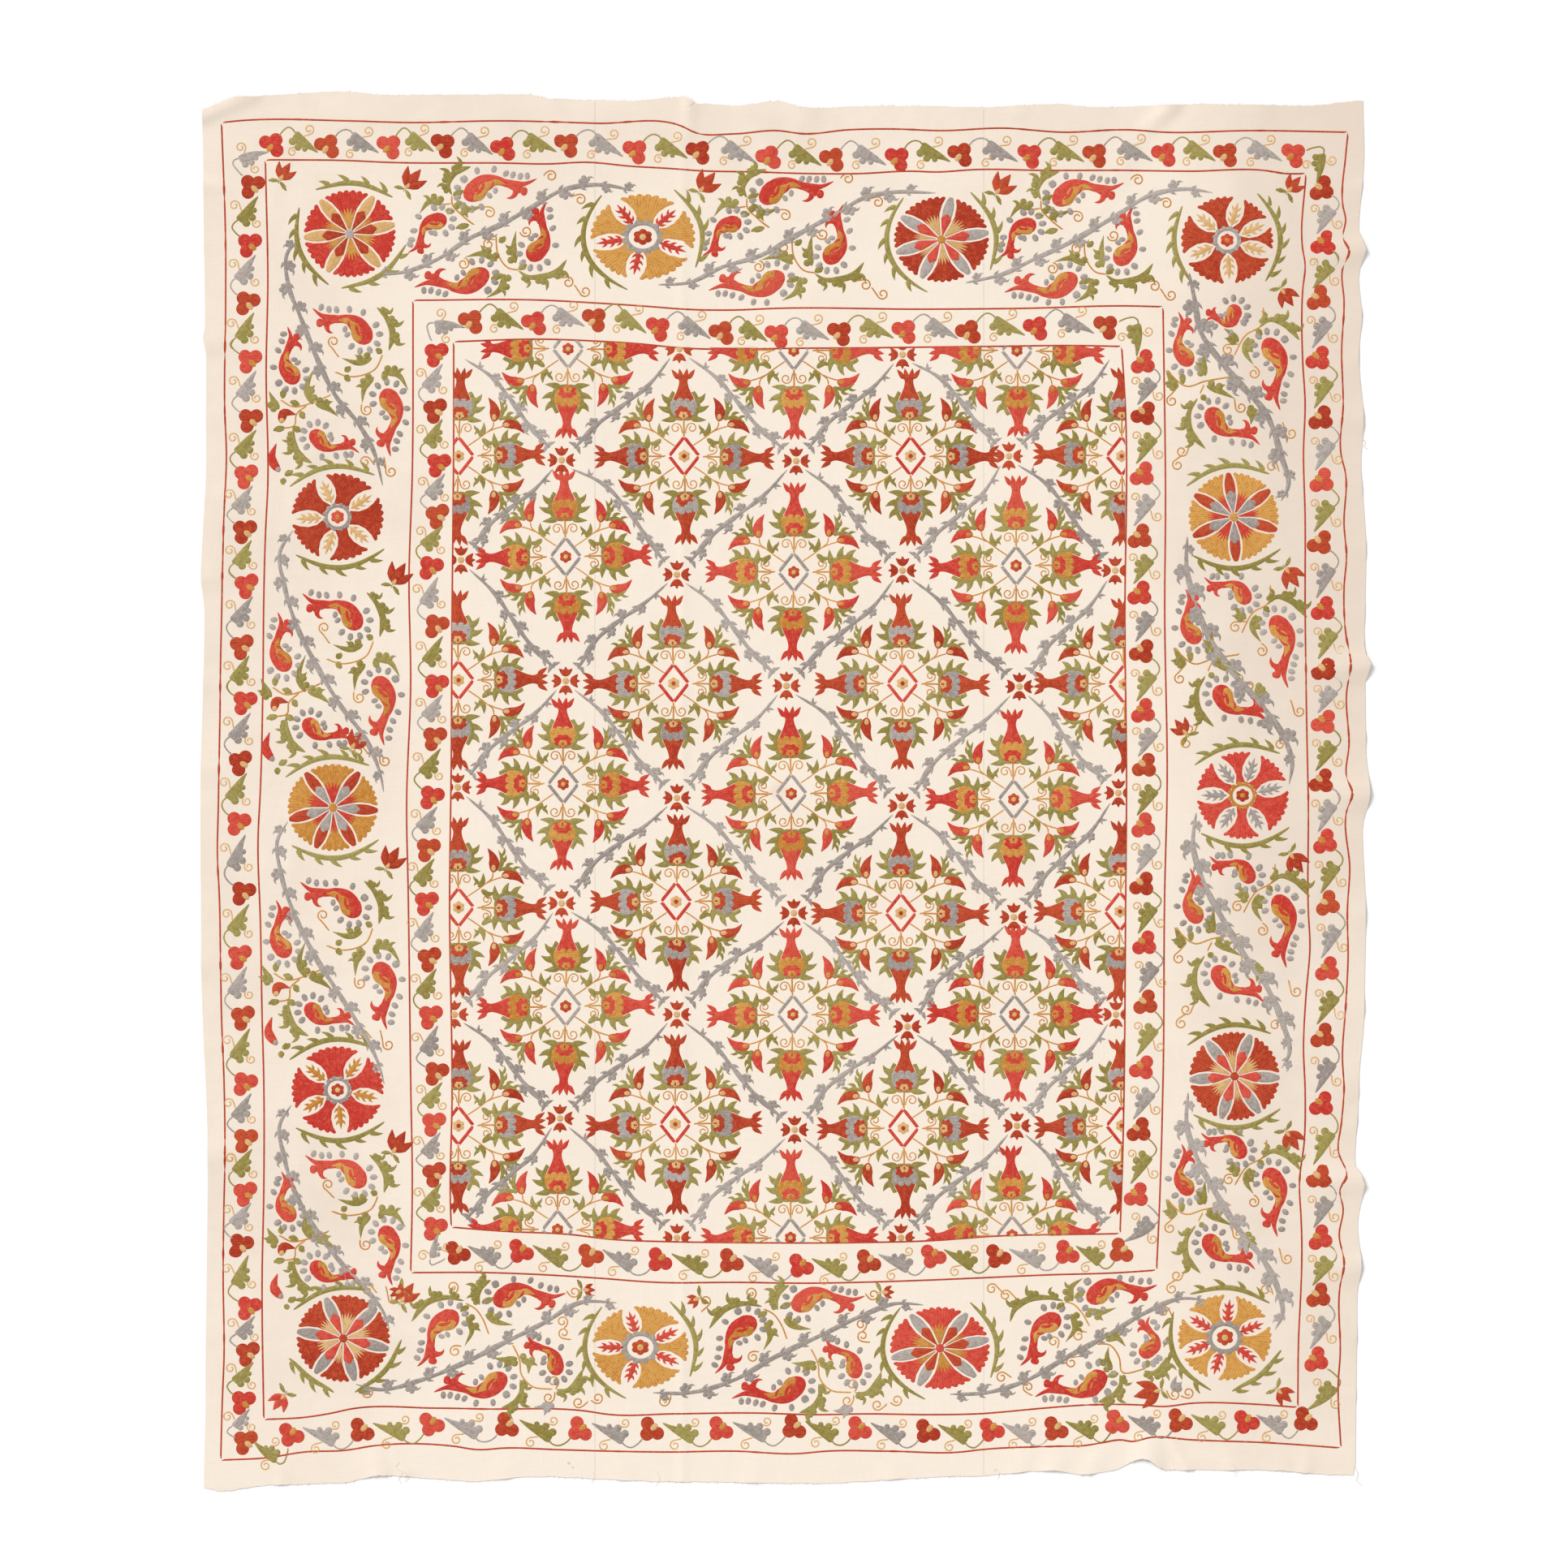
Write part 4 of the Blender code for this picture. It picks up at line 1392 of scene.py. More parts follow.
def pomegranate(region, colors, middle, out, aside, grown):
    """One fruit of a unit, from its stem at the diamond to its toothed crown."""
    def spot(along, sideways):
        return middle + out * along + aside * sideways

    turn = math.degrees(math.atan2(out[1], out[0]))
    crown = 100.0 + 6.0 * grown
    region["gold"].cord((spot(22, 0), spot(35, 0), spot(47, 0)), 1.5)
    fruit = region[colors.fruit].new_lot()
    line = smooth_line((spot(58, 0), spot(72, 0), spot(84, 0), spot(crown - 2, 0)), 2.2)
    share = np.linspace(58.0, crown - 2, len(line))
    half = profile(share, (58, 14), (64, 15.6), (68, 15.0), (73, 12.8), (79, 9.6), (85, 7.0), (90, 5.7),
                   (94, 5.7), (crown - 8, 7.6), (crown - 2, 11.5))
    fruit.strip(line, half, half)
    for sideways, lean, reach in ((-9.5, -15.0, 4.5), (-3.4, -5.0, 5.5), (3.4, 5.0, 5.5), (9.5, 15.0, 4.5)):
        fruit.leaf((spot(crown - 9, sideways * 0.6), spot(crown - 3, sideways), spot(crown + reach, lean)),
                   3.9, peak=0.4, spacing=2.2, wide=False)
    calyx = region["olive"].new_lot()
    for side in (-1.0, 1.0):
        rim = ((46, 0), (47, 9), (52.5, 15.5), (61, 18), (71, 16), (80, 11.5))
        line = smooth_line([spot(along, side * sideways) for along, sideways in rim], 2.0)
        calyx.strip(line, 3.1, 3.1, wide=False)
        for points in (((48, 8), (45, 18), (44, 29)), ((57, 14), (58, 24), (62.5, 32.5)),
                       ((67, 14), (70, 22), (78, 27.5))):
            line = [spot(along, side * sideways) for along, sideways in points]
            calyx.leaf(line, 5.4, peak=0.28, spacing=2.2, wide=False)
        clockwise = (side > 0) != (out[0] * aside[1] - out[1] * aside[0] > 0)
        scroll(region["gold"], spot(27, side * 1.5), spot(34.5, side * 9.8), 6.6, clockwise=clockwise,
               half_width=1.2)
    band = region[colors.band].new_lot()
    line = smooth_line((spot(46.5, 0), spot(57, 0), spot(67.5, 0)), 1.9)
    share = np.linspace(46.5, 67.5, len(line))
    half = profile(share, (46.5, 7), (49, 11.5), (53, 15), (59, 16.8), (64, 16.0), (67.5, 13.5))
    band.strip(line, half, half, SECOND_LAYER)
    for sideways in (-12.0, -4.2, 4.2, 12.0):
        band.disc(spot(68.4 - abs(sideways) * 0.28, sideways), 4.7, SECOND_LAYER, segments=12)
    fruit.disc(spot(53.8, 0), 12.6, THIRD_LAYER, stretch=(0.72, 1.0), turn=turn, lobes=7, depth=0.2,
               segments=36)
    eye = region[colors.inner_eye]
    eye.disc(spot(50.6, 0), 6.0, TOP_LAYER, stretch=(0.85, 1.1), turn=turn, lobes=5, depth=0.24, segments=24)
    fruit.disc(spot(49.4, 0), 1.7, HIGHEST_LAYER, stretch=(1.6, 0.9), turn=turn, segments=8)


def bud_spray(region, colors, middle, sign_x, sign_y):
    """One corner spray of a unit: two buds on a forked stem, small leaves, and a pronged leaf outside
    them."""
    def spot(x, y):
        return middle + np.array((x * sign_x, y * sign_y))

    gold = region["gold"]
    gold.cord((spot(10, 12), spot(22, 20), spot(34, 29), spot(42, 36), spot(43, 44)), 1.25)
    gold.cord((spot(34, 29), spot(45, 34), spot(56, 37)), 1.25)
    bud = region[colors.bud].new_lot()
    bud.leaf((spot(42.5, 42), spot(44.5, 51), spot(43, 61), spot(36, 73)), 7.4, peak=0.36, spacing=2.0)
    bud.leaf((spot(53, 37), spot(62, 40), spot(72, 37), spot(82, 27)), 7.0, peak=0.36, spacing=2.0)
    eye = region[colors.bud_eye]
    eye.disc(spot(43.6, 48), 3.6, SECOND_LAYER, stretch=(0.85, 1.25), segments=10)
    eye.disc(spot(58.6, 38.6), 3.6, SECOND_LAYER, stretch=(1.25, 0.85), segments=10)
    olive = region["olive"].new_lot()
    for points, width in (
        (((24, 24), (30, 31), (31, 43)), 4.6), (((27, 28), (22, 30), (19, 25)), 2.8),
        (((26, 30), (20, 35), (18, 40)), 2.6),
        (((28, 22), (36, 16), (48, 19)), 4.4), (((34, 19), (35, 13), (40, 9)), 2.8),
        (((51, 46), (54, 57), (49, 72)), 3.8), (((51, 46), (63, 47), (77, 40)), 3.8),
        (((53, 54), (58, 59), (59, 66)), 3.0), (((58, 48), (63, 53), (70, 53)), 3.0),
        (((53, 62), (57, 68), (56, 75)), 2.4), (((66, 45), (73, 49), (79, 48)), 2.4),
    ):
        olive.leaf([spot(*point) for point in points], width, peak=0.35, spacing=2.2, wide=False)
    olive.disc(spot(51.5, 47), 3.6, segments=10)


def pomegranate_unit(region, colors, middle):
    """Four fruits round a diamond with a small flower, and four sprays of buds between them."""
    sway = np.random.default_rng(int(abs(middle[0] * 7 + middle[1] * 13)))
    for angle in (90.0, 0.0, -90.0, 180.0):
        tilt = angle + sway.uniform(-1.6, 1.6)
        pomegranate(region, colors, middle, turned(tilt), left_of(turned(tilt)), sway.uniform(0.3, 1.3))
    for sign_x in (-1.0, 1.0):
        for sign_y in (-1.0, 1.0):
            bud_spray(region, colors, middle + sway.uniform(-0.8, 0.8, 2), sign_x, sign_y)
    corners = ((0.0, 23.5), (18.5, 0.0), (0.0, -23.5), (-18.5, 0.0))
    diamond = region[colors.diamond].new_lot()
    for start, stop in zip(corners, (*corners[1:], corners[0])):
        diamond.strip(middle + np.linspace(start, stop, 9), 2.5, 2.5, wide=False)
    region[colors.centre].disc(middle, 8.4, lobes=6, depth=0.2, segments=24)
    region[colors.centre_eye].disc(middle, 3.2, SECOND_LAYER, segments=10)


def cross_flower(region, middle):
    """Four toothed petals in a cross, with a pale dot."""
    petal = region["rust"].new_lot()
    for angle in (90.0, 0.0, -90.0, 180.0):
        out = turned(angle)
        aside = left_of(out)
        petal.disc(middle + out * 10.0, 5.2, stretch=(1.0, 1.2), turn=angle, segments=12)
        for lean in (-1.0, 0.0, 1.0):
            tip = middle + out * (18.6 - abs(lean) * 3.0) + aside * lean * 9.0
            root = middle + out * 5.6 + aside * lean
            bend = middle + out * 11.0 + aside * lean * 4.0
            petal.leaf((root, bend, tip), 3.6, peak=0.5, spacing=2.2, wide=False)
    region["pale"].disc(middle, 4.2, SECOND_LAYER, segments=10)


def lattice_branch(work, start, stop, bow):
    """One thorny branch of the lattice, from its thin start to its forked end, bowed to one side by a
    distance."""
    work.new_lot()
    way = stop - start
    ahead = way / np.hypot(*way)
    out = left_of(ahead)
    begin = start + ahead * 13.0
    end = stop - ahead * 20.0
    early = begin * 0.72 + end * 0.28 + out * (4.0 + bow * 0.8)
    halfway = 0.5 * (begin + end) + out * bow
    late = begin * 0.27 + end * 0.73 + out * (bow * 0.8 - 4.0)
    line = smooth_line((begin, early, halfway, late, end), 2.6)
    share = np.linspace(0.0, 1.0, len(line))
    half = profile(share, (0, 0.3), (0.1, 1.5), (0.22, 2.7), (0.5, 2.9), (0.75, 3.3), (0.92, 3.0), (1, 1.2))
    half = half * (1.0 + 0.2 * np.sin(share * 25.0))
    work.strip(line, half, half)
    for number, place_share in enumerate((0.15, 0.3, 0.45, 0.6, 0.75, 0.88)):
        place, heading = follow(line, place_share)
        side = 1.0 if number % 2 else -1.0
        grown = min(1.0, 0.55 + place_share)
        if number:
            lobed_node(work, place, heading, side, 5.0 * grown)
            thorn(work, place + heading * 2.0, heading, -side, 10.5 * grown, 3.2 * grown, 0.9)
        else:
            thorn(work, place, -heading, side, 12.0, 2.6, 0.4)
            thorn(work, place, heading, -side, 9.0, 2.4, 0.4)
    for side in (-1.0, 1.0):
        thorn(work, end - ahead * 6.0, ahead, side, 14.0, 3.6, 0.35)


def field_lines(points):
    """Holds places inside the field's own line, and tells which were outside it."""
    left = on_chart(FIELD_LINE.left)
    right = on_chart(FIELD_LINE.right)
    top = on_chart(FIELD_LINE.top)
    bottom = on_chart(FIELD_LINE.bottom)
    x, y = points.T
    x_low = np.interp(y, left[::-1, 1], left[::-1, 0])
    x_high = np.interp(y, right[::-1, 1], right[::-1, 0])
    y_high = np.interp(x, top[:, 0], top[:, 1])
    y_low = np.interp(x, bottom[:, 0], bottom[:, 1])
    outside = (x < x_low) | (x > x_high) | (y < y_low) | (y > y_high)
    held = np.column_stack((np.clip(x, x_low, x_high), np.clip(y, y_low, y_high)))
    return held, outside


class Vine(NamedTuple):
    """A grey branch from one rosette to the next, by places on the chart."""

    places: tuple
    first_side: float


VINES = (
    Vine(((460, 339), (499, 335), (538, 320), (582, 292), (613, 279), (651, 258), (697, 233), (743, 228),
          (784, 236)), 1),
    Vine(((809, 351), (850, 348), (888, 330), (939, 314), (983, 289), (1031, 263), (1067, 243), (1100, 237),
          (1156, 238)), 1),
    Vine(((1188, 349), (1238, 337), (1273, 320), (1312, 302), (1375, 266), (1417, 241), (1462, 233),
          (1497, 238)), 1),
    Vine(((372, 292), (355, 310), (355, 350), (370, 390), (390, 440), (415, 490), (440, 520), (460, 555),
          (472, 600)), -1),
    Vine(((362, 652), (345, 680), (350, 720), (365, 770), (390, 820), (420, 870), (450, 910), (470, 960),
          (473, 978)), -1),
    Vine(((356, 1010), (342, 1035), (346, 1075), (362, 1125), (388, 1178), (418, 1225), (446, 1270),
          (466, 1310),
          (474, 1338)), -1),
    Vine(((360, 1360), (345, 1385), (350, 1425), (366, 1475), (392, 1520), (424, 1560), (452, 1590),
          (474, 1620),
          (480, 1640)), -1),
    Vine(((1465, 335), (1472, 370), (1480, 410), (1500, 440), (1525, 470), (1560, 510), (1578, 560),
          (1587, 600),
          (1577, 620)), 1),
    Vine(((1463, 660), (1462, 700), (1472, 740), (1492, 790), (1520, 830), (1555, 870), (1580, 905),
          (1592, 940),
          (1588, 968)), 1),
    Vine(((1474, 1000), (1470, 1040), (1482, 1085), (1505, 1130), (1532, 1175), (1560, 1215), (1580, 1260),
          (1588, 1300), (1578, 1318)), 1),
    Vine(((1464, 1345), (1462, 1385), (1474, 1425), (1498, 1470), (1526, 1515), (1555, 1550), (1575, 1590),
          (1580, 1620), (1570, 1640)), 1),
    Vine(((436, 1705), (465, 1712), (520, 1700), (570, 1680), (620, 1655), (670, 1630), (715, 1605),
          (762, 1605)), -1),
    Vine(((802, 1716), (850, 1716), (905, 1700), (955, 1672), (1010, 1646), (1060, 1622), (1105, 1606),
          (1140, 1608)), -1),
    Vine(((1168, 1718), (1215, 1716), (1262, 1702), (1315, 1672), (1365, 1645), (1410, 1618), (1455, 1600),
          (1490, 1602)), -1),
)


class Comma(NamedTuple):
    """A paisley, by the places of its head and of the tip of its tail. back is +1 where its back lies to
    the left of the way from head to tail."""

    head_across: float
    head_down: float
    tail_across: float
    tail_down: float
    back: float


class CottonSettings(bpy.types.PropertyGroup):
    """The cloth's sizes and colours."""

    edge_step: bpy.props.FloatProperty(
        name="Edge step", description="Space between the rows of the cloth's mesh near its edges",
        default=0.008, min=0.004, max=0.02, unit="LENGTH",
    )
    middle_step: bpy.props.FloatProperty(
        name="Middle step", description="Space between the rows of the cloth's mesh in its flat middle",
        default=0.017, min=0.008, max=0.05, unit="LENGTH",
    )
    pale: bpy.props.FloatVectorProperty(
        name="Pale cotton", description="Colour of the cotton where it is least aged",
        default=linear(248, 234, 218), size=3, min=0.0, max=1.0, subtype="COLOR",
    )
    aged: bpy.props.FloatVectorProperty(
        name="Aged cotton", description="Colour of the cotton along its worn edges",
        default=linear(230, 213, 196), size=3, min=0.0, max=1.0, subtype="COLOR",
    )
    hairs: bpy.props.IntProperty(
        name="Frayed hairs", description="Number of short hairs along the two raw ends",
        default=1120, min=0, max=4000,
    )


class LightSettings(bpy.types.PropertyGroup):
    """The light, the floor and the camera."""

    key_power: bpy.props.FloatProperty(
        name="Key light", description="Strength of the soft light from the upper left",
        default=2.15, min=0.0,
    )
    world_strength: bpy.props.FloatProperty(
        name="Surrounding light", description="Strength of the even white light all round",
        default=0.62, min=0.0,
    )
    camera_height: bpy.props.FloatProperty(
        name="Camera height", description="Height of the camera over the floor",
        default=12.0, min=2.0, unit="LENGTH",
    )
    framed_width: bpy.props.FloatProperty(
        name="Framed width", description="Width of the floor that the camera takes in",
        default=2.898, min=0.5, unit="LENGTH",
    )


def stations(start, stop, fine, coarse, reach, special=(), bands=()):
    """Places from start to stop, a fine step apart near the cloth's outer edges, finer in the bands that
    hold sharp creases, and coarse elsewhere."""
    places = [start]
    while places[-1] < stop:
        here = places[-1]
        near = min(abs(here - edge) for edge in reach)
        step = fine if near < FINE_REACH else coarse
        if any(low < here < high for low, high in bands):
            step = 0.6 * fine
        places.append(here + step)
    places[-1] = stop
    if places[-1] - places[-2] < 0.4 * fine:
        places.pop(-2)
    kept = {start, stop}
    kept.update(place for place in places if all(abs(place - extra) > 3.0 for extra in special))
    kept.update(extra for extra in special if start < extra < stop)
    return np.array(sorted(kept))


def cloth_tone(x, y):
    """How aged the cotton looks at a place: low in the pale field and up to 1 along the worn right side."""
    upper = 0.62 + 0.38 * np.clip((y + 500.0) / 900.0, 0.0, 1.0)
    right = np.clip((x - 620.0) / 260.0, 0.0, 1.0) * 0.66 * upper
    left = np.clip((-640.0 - x) / 200.0, 0.0, 1.0) * 0.26
    top = np.clip((y - 1000.0) / 220.0, 0.0, 1.0) * 0.28
    bottom = np.clip((-1100.0 - y) / 110.0, 0.0, 1.0) * 0.14
    return np.maximum(np.maximum(left, right), top) + 0.16 - bottom


def spray(work, points, side):
    """A long curved leaf with round lobes and hooked prongs on one side."""
    work.new_lot()
    line = smooth_line(points, 2.4)
    share = np.linspace(0.0, 1.0, len(line))
    half = profile(share, (0, 0.6), (0.12, 2.4), (0.4, 4.6), (0.72, 5.2), (0.9, 2.4), (1, 0.3))
    work.strip(line, half, half, wide=False)
    for along, size in ((0.2, 0.95), (0.47, 1.2), (0.74, 1.15)):
        place, heading = follow(line, along)
        out = left_of(heading) * side
        work.disc(place + out * 4.4 * size, 4.6 * size, segments=12)
        work.disc(place + out * 3.6 * size - heading * 5.0 * size, 3.8 * size, segments=12)
        work.leaf((place + out * 3.0 + heading * 3.0, place + out * 10.0 * size + heading * 4.0,
                   place + out * 16.0 * size + heading * 1.0), 3.1 * size, peak=0.25, spacing=2.2, wide=False)


def sprig_leaf(work, points, side):
    """A small curved leaf with two round lobes near its root, on one side."""
    work.new_lot()
    line = smooth_line(points, 2.0)
    work.leaf(points, 5.4, peak=0.32, spacing=2.0, wide=False, end=0.06)
    for along, off, radius in ((0.14, 5.0, 4.8), (0.36, 5.6, 4.5)):
        place, heading = follow(line, along)
        work.disc(place + left_of(heading) * side * off, radius, segments=12)
    place, heading = follow(line, 0.46)
    out = left_of(heading) * side
    hook = (place, place + out * 6.5, place + out * 11.0 + heading * 5.0)
    work.leaf(hook, 3.2, peak=0.3, spacing=2.0, wide=False)


def tulip(region, base, tip, color):
    """A three-pointed flower with a pale eye, and two olive leaflets behind it."""
    way = tip - base
    length = np.hypot(*way)
    ahead = way / length
    aside = left_of(ahead)
    flower = region[color].new_lot()
    facing = math.degrees(math.atan2(ahead[1], ahead[0]))
    flower.disc(base + ahead * length * 0.28, length * 0.27, stretch=(1.1, 0.95), turn=facing, segments=14)
    flower.leaf((base, base + ahead * length * 0.5, tip), length * 0.24, peak=0.5, spacing=2.0)
    for side in (-1.0, 1.0):
        bend = base + ahead * length * 0.42 + aside * side * length * 0.3
        point = base + ahead * length * 0.8 + aside * side * length * 0.5
        flower.leaf((base + ahead * 2.0, bend, point), length * 0.2, peak=0.45, spacing=2.0)
    eye = (base - ahead, base + ahead * 4.0, base + ahead * 9.0)
    region["pale"].leaf(eye, 3.2, SECOND_LAYER, 0.5, wide=False)
    leaflet = region["olive"].new_lot()
    for side, reach in ((1.0, 13.0), (-1.0, 14.0)):
        leaflet.leaf((base - ahead * 1.5, base - ahead * 4.0 + aside * side * reach * 0.5,
                      base - ahead * 8.0 + aside * side * reach), 3.2, peak=0.6, wide=False, end=0.4)
    leaflet.cord((base, base - ahead * 6.0), 1.2)


def small_bud(region, base, middle, tip, color, eye):
    """A drop-shaped bud with a curled tip and an eye at its base."""
    region[color].new_lot().leaf((base, middle, tip), 6.6, peak=0.4, spacing=2.0)
    ahead = (middle - base) / np.hypot(*(middle - base))
    region[eye].disc(base + ahead * 4.5, 3.4, SECOND_LAYER, segments=10)


class Sprig(NamedTuple):
    """A small motif between two rosettes, by places on the chart from its root on. side is +1 for lobes to
    the left of the way and -1 for the right."""

    kind: str
    places: tuple
    side: float = 1.0


LEFT_SPRIGS = (
    Sprig("spray", ((464, 378), (478, 394), (484, 412), (479, 433))),
    Sprig("leaf", ((459, 441), (442, 447), (420, 441)), -1),
    Sprig("oval", ((471, 436), (463, 429))),
    Sprig("stem", ((412, 458), (429, 464), (444, 463), (462, 455), (472, 436))),
    Sprig("scroll", ((418, 441), (411, 421)), -1),
    Sprig("oval", ((424, 458), (433, 452))),
    Sprig("oval", ((425, 461), (431, 471))),
    Sprig("leaf", ((470, 459), (489, 461), (504, 482)), 1),
    Sprig("oval", ((471, 459), (477, 471))),
    Sprig("leaf", ((461, 464), (450, 476), (446, 498)), -1),
    Sprig("scroll", ((446, 497), (452, 505)), 1),
    Sprig("leaf", ((386, 499), (378, 480), (388, 452)), -1),
    Sprig("stem", ((409, 486), (383, 497), (360, 501), (345, 492))),
    Sprig("leaf", ((344, 505), (337, 494), (331, 481)), 1),
    Sprig("oval", ((348, 492), (350, 478))),
    Sprig("oval", ((370, 500), (357, 494))),
    Sprig("leaf", ((388, 497), (402, 502), (418, 514)), 1),
    Sprig("stem", ((379, 499), (365, 511), (363, 524), (347, 528))),
    Sprig("rust bud", ((346, 522), (350, 509), (366, 511))),
    Sprig("oval", ((370, 506), (375, 517))),
    Sprig("oval", ((360, 526), (372, 532))),
    Sprig("oval", ((352, 527), (336, 530))),
    Sprig("spray", ((361, 527), (362, 545), (368, 560), (385, 571)), -1),
    Sprig("bright bud", ((345, 582), (335, 566), (341, 545))),
    Sprig("oval", ((350, 586), (362, 580))),
    Sprig("oval", ((350, 588), (348, 598))),
    Sprig("scroll", ((462, 574), (450, 569)), 1),
    Sprig("scroll", ((473, 562), (482, 581)), 1),
)


RIGHT_SPRIGS = (
    Sprig("spray", ((1551, 404), (1564, 394), (1584, 400), (1602, 420)), 1),
    Sprig("stem", ((1557, 378), (1553, 402), (1536, 412), (1520, 439))),
    Sprig("leaf", ((1526, 422), (1518, 412), (1507, 404)), 1),
    Sprig("leaf", ((1539, 415), (1534, 431), (1545, 451)), 1),
    Sprig("oval", ((1548, 405), (1555, 414))),
    Sprig("scroll", ((1527, 424), (1513, 431)), 1),
    Sprig("scroll", ((1544, 450), (1545, 460)), -1),
    Sprig("leaf", ((1485, 464), (1483, 449), (1484, 431)), 1),
    Sprig("stem", ((1519, 464), (1484, 470), (1462, 476), (1445, 464), (1438, 455))),
    Sprig("leaf", ((1452, 478), (1443, 468), (1436, 455)), 1),
    Sprig("oval", ((1458, 474), (1456, 458))),
    Sprig("scroll", ((1452, 476), (1444, 494)), 1),
    Sprig("leaf", ((1486, 475), (1503, 482), (1523, 492)), 1),
    Sprig("scroll", ((1521, 490), (1529, 502)), 1),
    Sprig("stem", ((1484, 473), (1478, 486))),
    Sprig("spray", ((1476, 490), (1465, 508), (1466, 530), (1486, 554)), -1),
    Sprig("oval", ((1480, 486), (1486, 494))),
    Sprig("leaf", ((1536, 505), (1542, 512), (1541, 524)), 1),
    Sprig("scroll", ((1580, 519), (1591, 534)), 1),
    Sprig("scroll", ((1470, 541), (1456, 556)), -1),
    Sprig("scroll", ((1458, 560), (1451, 573)), 1),
    Sprig("scroll", ((1576, 582), (1567, 575)), 1),
)


LEFT_COMMAS = (
    Comma(450, 413, 382, 379, -1), Comma(353, 463, 350, 401, 1), Comma(485, 491, 485, 564, 1),
    Comma(387, 538, 445, 559, -1),
)


RIGHT_COMMAS = (
    Comma(1521, 385, 1483, 397, 1), Comma(1456, 442, 1448, 383, 1), Comma(1571, 428, 1581, 507, 1),
    Comma(1493, 513, 1555, 549, -1),
)


LOWER_RIGHT_COMMAS = (Comma(1525, 394, 1472, 369, -1), *RIGHT_COMMAS[1:])


class Bay(NamedTuple):
    """The space of the wide border between two rosettes. Its small motifs are charted once for each side,
    between the rosettes numbered first and last."""

    commas: tuple
    sprigs: tuple
    first: int
    last: int
    start: int
    stop: int


def placed(bay, point, squeeze=1.0):
    """A charted place of the pattern of a bay, moved with the bay's own two rosettes, and nearer to the
    line between them where squeezed."""
    first, last, start, stop = (
        at(ROSETTES[number - 1].across, ROSETTES[number - 1].down)
        for number in (bay.first, bay.last, bay.start, bay.stop)
    )
    way = last - first
    share = float(np.dot(point - first, way) / np.dot(way, way))
    aside = point - first - way * share
    return first + way * share + aside * squeeze + (start - first) * (1.0 - share) + (stop - last) * share


def small_motif(region, entry, places):
    """One entry of the tables of small motifs."""
    if entry.kind == "spray":
        spray(region["olive"], places, entry.side)
    elif entry.kind == "leaf":
        sprig_leaf(region["olive"], places, entry.side)
    elif entry.kind == "grey leaf":
        sprig_leaf(region["grey"], places, entry.side)
    elif entry.kind == "oval":
        line = (places[0], 0.5 * (places[0] + places[1]), places[1])
        region["olive"].new_lot().leaf(line, 5.2, peak=0.58, wide=False, end=0.4)
    elif entry.kind == "stem":
        region["gold"].new_lot().cord(places, 1.4)
    elif entry.kind == "scroll":
        scroll(region["gold"], places[0], places[1], 7.0, clockwise=entry.side < 0.0, half_width=1.35)
    elif entry.kind in ("rust bud", "bright bud"):
        color, eye = ("rust", "pale") if entry.kind == "rust bud" else ("bright", "grey")
        small_bud(region, *places, color, eye)
    elif entry.kind in ("rust tulip", "bright tulip"):
        tulip(region, *places, entry.kind.split()[0])
    else:
        raise ValueError(f"unknown motif {entry.kind}")


TOP_SPRIGS = (
    Sprig("rust tulip", ((500, 232), (519, 208))),
    Sprig("spray", ((557, 241), (552, 228), (559, 214), (581, 205)), 1),
    Sprig("oval", ((557, 241), (572, 235))),
    Sprig("stem", ((557, 240), (557, 251), (569, 265), (585, 278))),
    Sprig("stem", ((557, 251), (548, 252), (539, 257))),
    Sprig("leaf", ((546, 252), (531, 248), (516, 264)), -1),
    Sprig("oval", ((548, 259), (561, 261))),
    Sprig("leaf", ((562, 247), (577, 258), (598, 252)), -1),
    Sprig("scroll", ((595, 255), (603, 262)), -1),
    Sprig("oval", ((579, 277), (561, 281))),
    Sprig("stem", ((611, 289), (614, 314), (626, 330), (641, 333))),
    Sprig("scroll", ((611, 296), (602, 301)), 1),
    Sprig("oval", ((614, 299), (624, 292))),
    Sprig("leaf", ((635, 325), (633, 304), (636, 283)), 1),
    Sprig("leaf", ((613, 322), (597, 313), (572, 317)), -1),
    Sprig("scroll", ((571, 317), (571, 325)), -1),
    Sprig("oval", ((638, 332), (650, 326))),
    Sprig("spray", ((638, 333), (650, 341), (668, 341), (685, 336), (699, 319)), -1),
    Sprig("scroll", ((687, 343), (700, 348)), -1),
    Sprig("scroll", ((707, 350), (721, 359)), 1),
    Sprig("leaf", ((622, 337), (618, 354), (598, 368)), 1),
    Sprig("oval", ((621, 338), (604, 344))),
    Sprig("scroll", ((669, 217), (679, 217)), -1),
    Sprig("scroll", ((640, 285), (648, 285)), 1),
    Sprig("scroll", ((702, 243), (715, 246)), -1),
)


